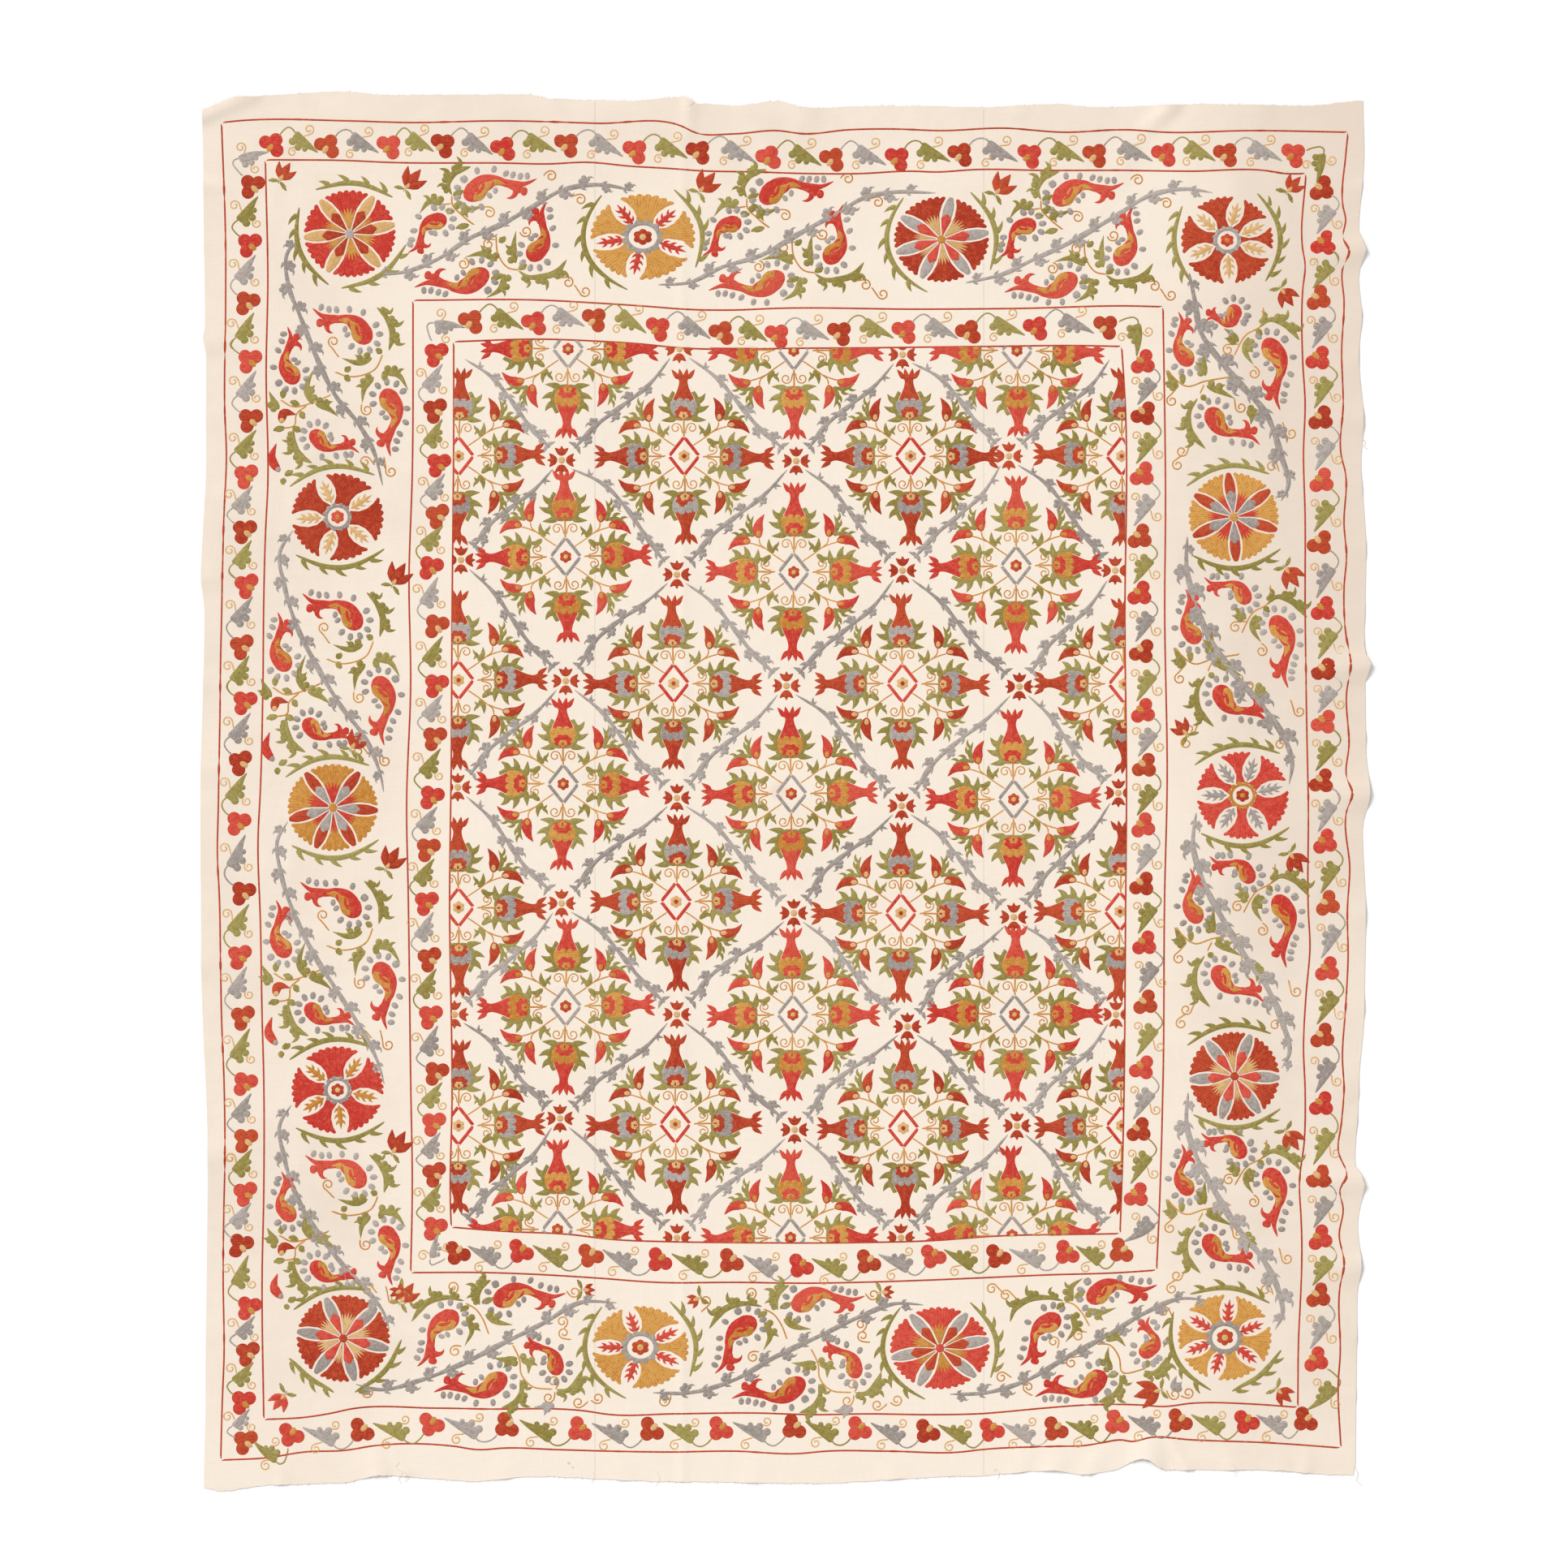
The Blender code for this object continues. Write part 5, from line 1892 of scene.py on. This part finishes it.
BOTTOM_SPRIGS = (
    Sprig("scroll", ((1239, 1596), (1222, 1588)), 1),
    Sprig("scroll", ((1254, 1602), (1239, 1596)), 1),
    Sprig("spray", ((1311, 1603), (1293, 1599), (1265, 1602), (1251, 1612), (1244, 1630)), -1),
    Sprig("oval", ((1312, 1605), (1301, 1613))),
    Sprig("stem", ((1311, 1604), (1321, 1606), (1331, 1615), (1343, 1635))),
    Sprig("leaf", ((1321, 1604), (1319, 1588), (1335, 1574)), 1),
    Sprig("oval", ((1323, 1600), (1338, 1590))),
    Sprig("leaf", ((1338, 1613), (1352, 1617), (1377, 1611)), -1),
    Sprig("leaf", ((1320, 1618), (1325, 1635), (1312, 1655)), 1),
    Sprig("scroll", ((1302, 1662), (1298, 1653)), 1),
    Sprig("scroll", ((1340, 1642), (1329, 1646)), 1),
    Sprig("leaf", ((1362, 1652), (1375, 1648), (1388, 1660)), 1),
    Sprig("stem", ((1351, 1656), (1367, 1657), (1379, 1673), (1382, 1690), (1413, 1686))),
    Sprig("leaf", ((1370, 1689), (1364, 1675), (1366, 1658)), 1),
    Sprig("oval", ((1379, 1692), (1363, 1696))),
    Sprig("spray", ((1380, 1693), (1381, 1706), (1370, 1721), (1352, 1728)), 1),
    Sprig("spray", ((1409, 1689), (1422, 1692), (1432, 1685), (1438, 1671)), -1),
    Sprig("oval", ((1412, 1686), (1415, 1675))),
    Sprig("rust tulip", ((1429, 1713), (1396, 1721))),
    Sprig("grey leaf", ((1448, 1715), (1446, 1706), (1450, 1694)), -1),
    Sprig("scroll", ((1437, 1712), (1447, 1718)), 1),
    Sprig("scroll", ((1454, 1719), (1464, 1716)), 1),
    Sprig("scroll", ((1445, 1624), (1434, 1616)), 1),
    Sprig("scroll", ((1247, 1698), (1234, 1697)), 1),
    Sprig("scroll", ((1273, 1720), (1267, 1709)), -1),
    Sprig("scroll", ((1334, 1671), (1320, 1679)), 1),
)


LOWER_SPRIGS = (
    Sprig("spray", ((940, 1610), (919, 1606), (893, 1613), (873, 1638)), -1),
    Sprig("oval", ((946, 1616), (933, 1623))),
    Sprig("stem", ((940, 1612), (954, 1620), (962, 1631), (970, 1651))),
    Sprig("spray", ((958, 1615), (956, 1600), (961, 1590), (973, 1583)), 1),
    Sprig("oval", ((960, 1612), (977, 1605))),
    Sprig("leaf", ((965, 1625), (979, 1634), (1001, 1638)), 1),
    Sprig("leaf", ((942, 1628), (949, 1645), (940, 1665)), 1),
    Sprig("scroll", ((926, 1603), (925, 1593)), 1),
    Sprig("scroll", ((863, 1617), (869, 1603)), 1),
    Sprig("rust tulip", ((861, 1599), (846, 1607))),
    Sprig("scroll", ((936, 1666), (928, 1672)), 1),
    Sprig("scroll", ((827, 1718), (818, 1726)), -1),
    Sprig("scroll", ((1073, 1654), (1063, 1646)), -1),
    Sprig("scroll", ((1062, 1641), (1061, 1632)), 1),
    Sprig("scroll", ((1066, 1593), (1076, 1595)), 1),
    Sprig("rust tulip", ((1087, 1592), (1103, 1592))),
    Sprig("stem", ((999, 1661), (1008, 1681), (1010, 1698), (1022, 1712), (1050, 1716))),
    Sprig("leaf", ((1006, 1679), (991, 1681), (974, 1679)), 1),
    Sprig("leaf", ((1009, 1681), (1018, 1683), (1019, 1699)), 1),
    Sprig("spray", ((1009, 1704), (1010, 1722), (1001, 1735), (984, 1741)), 1),
    Sprig("spray", ((1053, 1716), (1067, 1717), (1080, 1705), (1086, 1690)), -1),
    Sprig("grey leaf", ((1046, 1731), (1036, 1738), (1025, 1738)), 1),
    Sprig("scroll", ((1052, 1716), (1050, 1706)), 1),
    Sprig("scroll", ((1052, 1718), (1044, 1726)), -1),
    Sprig("scroll", ((1094, 1729), (1081, 1731)), -1),
    Sprig("scroll", ((1096, 1727), (1105, 1725)), 1),
)


TOP_COMMAS = (
    Comma(541, 270, 502, 313, -1), Comma(591, 346, 509, 358, 1), Comma(583, 232, 663, 216, 1),
    Comma(659, 314, 674, 245, -1),
)


BOTTOM_COMMAS = (
    Comma(1296, 1625, 1256, 1685, -1), Comma(1350, 1590, 1427, 1579, 1), Comma(1413, 1666, 1417, 1619, -1),
    Comma(1353, 1704, 1274, 1725, 1),
)


LOWER_COMMAS = (
    Comma(921, 1629, 880, 1695, -1), Comma(987, 1600, 1067, 1593, 1), Comma(1053, 1692, 1016, 1645, -1),
    Comma(981, 1712, 900, 1727, 1),
)


BAYS = (
    Bay(LEFT_COMMAS, LEFT_SPRIGS, 1, 5, 1, 5), Bay(LEFT_COMMAS, LEFT_SPRIGS, 1, 5, 5, 6),
    Bay(LEFT_COMMAS, LEFT_SPRIGS, 1, 5, 6, 7), Bay(LEFT_COMMAS, LEFT_SPRIGS, 1, 5, 7, 8),
    Bay(RIGHT_COMMAS, RIGHT_SPRIGS, 4, 12, 4, 12), Bay(LOWER_RIGHT_COMMAS, RIGHT_SPRIGS, 4, 12, 12, 13),
    Bay(LOWER_RIGHT_COMMAS, RIGHT_SPRIGS, 4, 12, 13, 14),
    Bay(LOWER_RIGHT_COMMAS, RIGHT_SPRIGS, 4, 12, 14, 11),
    Bay(TOP_COMMAS, TOP_SPRIGS, 1, 2, 1, 2), Bay(TOP_COMMAS, TOP_SPRIGS, 1, 2, 2, 3),
    Bay(TOP_COMMAS, TOP_SPRIGS, 1, 2, 3, 4),
    Bay(LOWER_COMMAS, LOWER_SPRIGS, 9, 10, 8, 9), Bay(LOWER_COMMAS, LOWER_SPRIGS, 9, 10, 9, 10),
    Bay(BOTTOM_COMMAS, BOTTOM_SPRIGS, 10, 11, 10, 11),
)


TULIPS = (
    Sprig("rust tulip", ((484, 720), (500, 693))), Sprig("rust tulip", ((476, 1070), (492, 1043))),
    Sprig("rust tulip", ((484, 1420), (500, 1393))), Sprig("rust tulip", ((433, 922), (448, 900))),
    Sprig("rust tulip", ((494, 1604), (510, 1580))), Sprig("rust tulip", ((1584, 700), (1601, 724))),
    Sprig("rust tulip", ((1590, 1052), (1606, 1076))), Sprig("rust tulip", ((1585, 1394), (1601, 1418))),
    Sprig("rust tulip", ((1579, 356), (1594, 378))), Sprig("rust tulip", ((1587, 236), (1603, 217))),
    Sprig("rust tulip", ((1574, 1712), (1592, 1728))), Sprig("rust tulip", ((345, 222), (358, 200))),
    Sprig("bright tulip", ((351, 1718), (336, 1738))), Sprig("rust tulip", ((1462, 905), (1447, 886))),
)


class LooseThread(NamedTuple):
    """One loose thread at a raw end, by places on the chart."""

    places: tuple


LOOSE_THREADS = (
    LooseThread(((492, 1801), (488, 1808), (496, 1815), (491, 1822), (495, 1828))),
    LooseThread(((497, 1812), (502, 1819), (499, 1826))),
    LooseThread(((729, 1812), (733, 1819), (728, 1827))),
    LooseThread(((809, 1814), (813, 1821), (808, 1830))),
    LooseThread(((1226, 1808), (1231, 1815), (1229, 1822))),
    LooseThread(((1519, 1804), (1523, 1811), (1519, 1818))),
    LooseThread(((1668, 1806), (1673, 1816), (1671, 1824), (1679, 1830))),
    LooseThread(((851, 121), (854, 127), (849, 131))),
    LooseThread(((1677, 541), (1682, 544), (1680, 550), (1685, 553))),
)


def surface_height(x, y):
    """The height of the cloth's upper face at a place, in mm."""
    return cloth_height(x, y) + CLOTH_OVER


def fibres(name, strands, material):
    """Thin three-sided strands of cotton in one mesh, each given as its points and its radius in mm."""
    coords = []
    faces = []
    for points, radius in strands:
        line = np.asarray(points, float)
        heading = np.gradient(line, axis=0)
        heading /= np.linalg.norm(heading, axis=1)[:, None]
        across = np.cross(heading, (0.0, 0.0, 1.0))
        across /= np.maximum(np.linalg.norm(across, axis=1), 1e-6)[:, None]
        above = np.cross(across, heading)
        reach = radius * np.linspace(1.0, 0.55, len(line))[:, None]
        first = len(coords)
        for angle in (math.radians(90.0), math.radians(210.0), math.radians(330.0)):
            coords.extend((line + (across * math.cos(angle) + above * math.sin(angle)) * reach) * MM)
        count = len(line)
        for side in range(3):
            here = first + side * count
            beside = first + (side + 1) % 3 * count
            faces.extend((here + step, beside + step, beside + step + 1,
                          here + step + 1) for step in range(count - 1))
        faces.append((first + 2 * count, first + count, first))
        faces.append((first + count - 1, first + 2 * count - 1, first + 3 * count - 1))
    mesh = bpy.data.meshes.new(name)
    mesh.from_pydata([tuple(point) for point in coords], [], faces)
    tone = mesh.attributes.new("tone", "FLOAT", "POINT")
    tone.data.foreach_set("value", np.full(len(coords), 0.3))
    mesh.shade_smooth()
    mesh.materials.append(material)
    strands_object = bpy.data.objects.new(name, mesh)
    bpy.context.scene.collection.objects.link(strands_object)
    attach(strands_object, "root")
    return strands_object


def seam_stitches(nominal_x, seed):
    """Slanted whip stitches that hold two loom widths edge to edge along a seam."""
    chance = np.random.default_rng(seed)
    strands = []
    for nominal_y in np.arange(-HALF_LENGTH + 4.0, HALF_LENGTH - 4.0, 7.0):
        middle = nominal_y + chance.uniform(-1.2, 1.2)
        share = np.linspace(-1.0, 1.0, 4)
        x, y = shaped(nominal_x + share * 2.1, middle + share * (1.2 + chance.uniform(-0.4, 0.4)))
        z = surface_height(x, y) + 0.32 * (1.0 - share**4) - 0.25
        strands.append((np.column_stack((x, y, z)), 0.32))
    return strands


def raw_end(sign, count, seed):
    """The short fuzz of one raw end of the cloth."""
    chance = np.random.default_rng(seed)
    strands = []
    for nominal_x in chance.uniform(-HALF_WIDTH + 2.0, HALF_WIDTH - 2.0, count):
        x, y = shaped(np.array([nominal_x]), np.array([sign * (HALF_LENGTH - 0.8)]))
        length = 1.2 + 4.6 * chance.random() ** 2.0
        angle = math.radians(90.0 * sign + chance.uniform(-55.0, 55.0))
        bend = chance.uniform(-0.9, 0.9)
        share = np.linspace(0.0, 1.0, 3)
        run = angle + bend * share
        line_x = x[0] + np.cos(run) * share * length
        line_y = y[0] + np.sin(run) * share * length
        base = float(cloth_height(x, y)[0])
        z = base + 0.6 - share * min(0.35, base + 0.25)
        strands.append((np.column_stack((line_x, line_y, z)), chance.uniform(0.16, 0.28)))
    return strands


def loom_width(name, node, left, right, settings, material):
    """One loom width of the cloth, as a thin sheet laid on its folds."""
    fine = settings.edge_step / MM
    coarse = settings.middle_step / MM
    crease = [CREASE_X + share * CREASE_HALF_WIDTH for share in (-1.0, -0.6, -0.3, 0.0, 0.3, 0.6, 1.0)]
    columns = stations(left, right, fine, coarse, (-HALF_WIDTH, HALF_WIDTH), crease, CREASED_BANDS)
    rows = stations(-HALF_LENGTH, HALF_LENGTH, fine, coarse, (-HALF_LENGTH, HALF_LENGTH))
    ragged = np.random.default_rng(11)
    nominal_x, nominal_y = np.meshgrid(columns, rows)
    x, y = shaped(nominal_x, nominal_y)
    y[0] += ragged.uniform(-0.9, 0.9, len(columns))
    y[-1] += ragged.uniform(-0.9, 0.9, len(columns))
    under = cloth_height(x, y) + CLOTH_UNDER
    over = under + (CLOTH_OVER - CLOTH_UNDER)
    count = x.size
    index = np.arange(count).reshape(x.shape)
    top = grid_quads(*x.shape)[:, TURNED_OVER]
    bottom = top[:, ::-1] + count
    loop = np.concatenate((index[0], index[1:, -1], index[-1, -2::-1], index[-2:0:-1, 0]))
    following = np.roll(loop, -1)
    rim = np.column_stack((loop, loop + count, following + count, following))
    coords = np.concatenate((
        np.column_stack((x.ravel(), y.ravel(), over.ravel())),
        np.column_stack((x.ravel(), y.ravel(), under.ravel())),
    )) * MM
    mesh = bpy.data.meshes.new(name)
    mesh.from_pydata(coords, [], np.concatenate((top, bottom, rim)).tolist())
    tone = mesh.attributes.new("tone", "FLOAT", "POINT")
    tone.data.foreach_set("value", np.tile(cloth_tone(x, y).ravel(), 2))
    mesh.shade_smooth()
    mesh.set_sharp_from_angle(angle=math.radians(50.0))
    mesh.materials.append(material)
    sheet = bpy.data.objects.new(name, mesh)
    bpy.context.scene.collection.objects.link(sheet)
    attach(sheet, "root")
    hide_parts(node)
    return sheet


class BEDCOVER_OT_cloth(bpy.types.Operator):
    """Lay the three loom widths of cotton, joined by their seams, with the fuzz and loose threads of the
    raw ends"""

    bl_idname = "bedcover.cloth"
    bl_label = "Cloth"

    def execute(self, context):
        settings = context.scene.bedcover_cotton
        material = cotton_finish("cotton_ground", tuple(settings.pale), tuple(settings.aged))
        half_gap = SEAM_GAP / 2.0
        for side, left, right in (
            ("left", -HALF_WIDTH, LEFT_SEAM_X - half_gap),
            ("middle", LEFT_SEAM_X + half_gap, RIGHT_SEAM_X - half_gap),
            ("right", RIGHT_SEAM_X + half_gap, HALF_WIDTH),
        ):
            loom_width(f"cloth_{side}", f"panel_{side}", left, right, settings, material)
        fibres("seam_left", seam_stitches(LEFT_SEAM_X, 21), material)
        fibres("seam_right", seam_stitches(RIGHT_SEAM_X, 22), material)
        fibres("raw_end_top", raw_end(1.0, settings.hairs, 23), material)
        fibres("raw_end_bottom", raw_end(-1.0, settings.hairs, 24), material)
        loose = []
        for entry in LOOSE_THREADS:
            line = smooth_line(on_chart(entry.places) * SQUARE, 1.6)
            height = np.maximum(surface_height(line[:, 0], line[:, 1]) + 0.25, 0.3)
            loose.append((np.column_stack((line, height)), 0.6))
        fibres("loose_threads", loose, material)
        return {"FINISHED"}


class BEDCOVER_OT_guard_lines(bpy.types.Operator):
    """Draw the four red lines round the borders in chain stitch"""

    bl_idname = "bedcover.guard_lines"
    bl_label = "Guard lines"

    def execute(self, context):
        region = Region("guard_lines")
        for line in GUARD_LINES:
            for side in line:
                region["rust"].cord(on_chart(side), 1.5, spacing=4.0)
        region.build()
        return {"FINISHED"}


class BEDCOVER_OT_guard_borders(bpy.types.Operator):
    """Work the two guard borders of trefoil flowers"""

    bl_idname = "bedcover.guard_borders"
    bl_label = "Guard borders"

    def execute(self, context):
        for name, sides in (("outer_guard", OUTER_BORDER), ("inner_guard", INNER_BORDER)):
            region = Region(name)
            guard_border(region, sides)
            region.build()
        return {"FINISHED"}


class BEDCOVER_OT_rosettes(bpy.types.Operator):
    """Work the fourteen rosettes and the thorny arcs that embrace them"""

    bl_idname = "bedcover.rosettes"
    bl_label = "Rosettes"

    def execute(self, context):
        region = Region("rosettes")
        wreaths = Region("wreaths")
        for rosette in ROSETTES:
            if rosette.eyed:
                eyed_rosette(region, rosette)
            else:
                petalled_rosette(region, rosette)
            for start, stop in rosette.wreaths:
                wreath(wreaths["olive"], rosette, start, stop)
        region.build()
        wreaths.build()
        return {"FINISHED"}


class BEDCOVER_OT_wide_border(bpy.types.Operator):
    """Work the vines, paisleys, leaves and tendrils of the wide border"""

    bl_idname = "bedcover.wide_border"
    bl_label = "Wide border"

    def execute(self, context):
        vines = Region("vines")
        for entry in VINES:
            sturdy = 1.3 if entry.places[0][0] > 1400 and entry.places[0][1] > 320 else 1.0
            vine(vines["grey"], on_chart(entry.places), sturdy, first_side=entry.first_side)
        vines.build()
        commas = Region("paisleys")
        sprigs = Region("sprigs")
        for bay in BAYS:
            for entry in bay.commas:
                head = placed(bay, at(entry.head_across, entry.head_down), 0.9)
                tail = placed(bay, at(entry.tail_across, entry.tail_down), 0.95)
                paisley(commas, head, tail, entry.back)
            for entry in bay.sprigs:
                small_motif(sprigs, entry, [placed(bay, at(*place)) for place in entry.places])
        for entry in TULIPS:
            small_motif(sprigs, entry, [at(*place) for place in entry.places])
        commas.build()
        sprigs.build()
        return {"FINISHED"}


LATTICE_ACROSS = 139.0
LATTICE_DOWN = 137.0
SAME_CROSSING = 45.0
CORNER_REACH = 900.0


class BEDCOVER_OT_field(bpy.types.Operator):
    """Work the pomegranates, the lattice and the cross flowers of the field"""

    bl_idname = "bedcover.field"
    bl_label = "Field"

    def execute(self, context):
        units = Region("field")
        for places, colors in ((RUST_UNITS, RUST_UNIT), (BRIGHT_UNITS, BRIGHT_UNIT)):
            for place in places:
                pomegranate_unit(units, colors, at(*place))
        units.build(field_lines)
        crosses = Region("crosses")
        lattice = Region("lattice")
        middles = [at(*place) for place in CROSS_FLOWERS]
        units_at = [at(*place) for place in (*RUST_UNITS, *BRIGHT_UNITS)]
        for middle in middles:
            if abs(middle[0]) + abs(middle[1]) < CORNER_REACH:
                cross_flower(crosses, middle)
            for way in (-LATTICE_ACROSS, LATTICE_ACROSS):
                aim = middle + np.array((way, -LATTICE_DOWN))
                away = [np.hypot(*(other - aim)) for other in middles]
                nearest = middles[int(np.argmin(away))] if min(away) < SAME_CROSSING else aim
                across = left_of(nearest - middle) / np.hypot(*(nearest - middle))
                halfway = 0.5 * (middle + nearest)
                beside = [unit for unit in units_at if np.hypot(*(unit - halfway)) < 140.0]
                offs = [float(np.dot(unit - halfway, across)) for unit in beside]
                between = max(offs, default=0) > 0 > min(offs, default=0)
                bow = 0.5 * (max(offs) + min(offs)) if between else 0.0
                lattice_branch(lattice["grey"], middle, nearest, bow)
        crosses.build(field_lines)
        lattice.build(field_lines)
        return {"FINISHED"}


FLOOR_HALF = 9.0
LAMP_ANGLE = 24.0
LAMP_PLACE = (-3.4, 3.6, 4.2)
CAMERA_ASIDE = (-0.003, 0.0135)
SENSOR_WIDTH = 36.0


class BEDCOVER_OT_stage(bpy.types.Operator):
    """Set the white floor, the soft light and the camera straight above"""

    bl_idname = "bedcover.stage"
    bl_label = "Floor, light and camera"

    def execute(self, context):
        settings = context.scene.bedcover_light
        mesh = bpy.data.meshes.new("floor")
        signs = ((-1.0, -1.0), (1.0, -1.0), (1.0, 1.0), (-1.0, 1.0))
        corners = [(x * FLOOR_HALF, y * FLOOR_HALF, -0.0005) for x, y in signs]
        mesh.from_pydata(corners, [], [(0, 1, 2, 3)])
        white = Finish("floor_white")
        dust = white.noise(white.place(), 3.0)
        relief = white.bump(dust, 0.0001, 0.1)
        mesh.materials.append(white.surface((0.97, 0.97, 0.97, 1.0), 0.9 + dust * 0.05, relief))
        floor = bpy.data.objects.new("floor", mesh)
        context.scene.collection.objects.link(floor)
        world = bpy.data.worlds.new("soft_white")
        world.use_nodes = True
        background = world.node_tree.nodes["Background"]
        background.inputs["Color"].default_value = (1.0, 1.0, 1.0, 1.0)
        background.inputs["Strength"].default_value = settings.world_strength
        context.scene.world = world
        lamp = bpy.data.lights.new("key_light", "SUN")
        lamp.angle = math.radians(LAMP_ANGLE)
        lamp.energy = settings.key_power
        light = bpy.data.objects.new("key_light", lamp)
        light.location = LAMP_PLACE
        light.rotation_euler = light.location.to_track_quat("Z", "Y").to_euler()
        context.scene.collection.objects.link(light)
        lens = bpy.data.cameras.new("camera")
        lens.sensor_width = SENSOR_WIDTH
        lens.lens = SENSOR_WIDTH * settings.camera_height / settings.framed_width
        lens.clip_end = 100.0
        camera = bpy.data.objects.new("camera", lens)
        camera.location = (*CAMERA_ASIDE, settings.camera_height)
        context.scene.collection.objects.link(camera)
        context.scene.camera = camera
        context.scene.view_settings.view_transform = "Standard"
        context.scene.view_settings.look = "None"
        return {"FINISHED"}


STEPS = (
    BEDCOVER_OT_cloth, BEDCOVER_OT_guard_lines, BEDCOVER_OT_guard_borders, BEDCOVER_OT_rosettes,
    BEDCOVER_OT_wide_border, BEDCOVER_OT_field, BEDCOVER_OT_stage,
)


class BEDCOVER_PT_panel(bpy.types.Panel):
    """Sizes, colours and steps of the bedcover"""

    bl_idname = "BEDCOVER_PT_panel"
    bl_label = "Embroidered bedcover"
    bl_space_type = "VIEW_3D"
    bl_region_type = "UI"
    bl_category = "Bedcover"

    def draw(self, context):
        for group in (context.scene.bedcover_cotton, context.scene.bedcover_light):
            box = self.layout.box()
            for name in group.__annotations__:
                box.prop(group, name)
        for step in STEPS:
            self.layout.operator(step.bl_idname)


CLASSES = (CottonSettings, LightSettings, *STEPS, BEDCOVER_PT_panel)


def register():
    for made in CLASSES:
        bpy.utils.register_class(made)
    bpy.types.Scene.bedcover_cotton = bpy.props.PointerProperty(type=CottonSettings)
    bpy.types.Scene.bedcover_light = bpy.props.PointerProperty(type=LightSettings)


def unregister():
    del bpy.types.Scene.bedcover_light
    del bpy.types.Scene.bedcover_cotton
    for made in reversed(CLASSES):
        bpy.utils.unregister_class(made)


def main():
    register()
    bpy.ops.bedcover.cloth()
    bpy.ops.bedcover.guard_lines()
    bpy.ops.bedcover.guard_borders()
    bpy.ops.bedcover.rosettes()
    bpy.ops.bedcover.wide_border()
    bpy.ops.bedcover.field()
    bpy.ops.bedcover.stage()


if __name__ == "__main__":
    main()
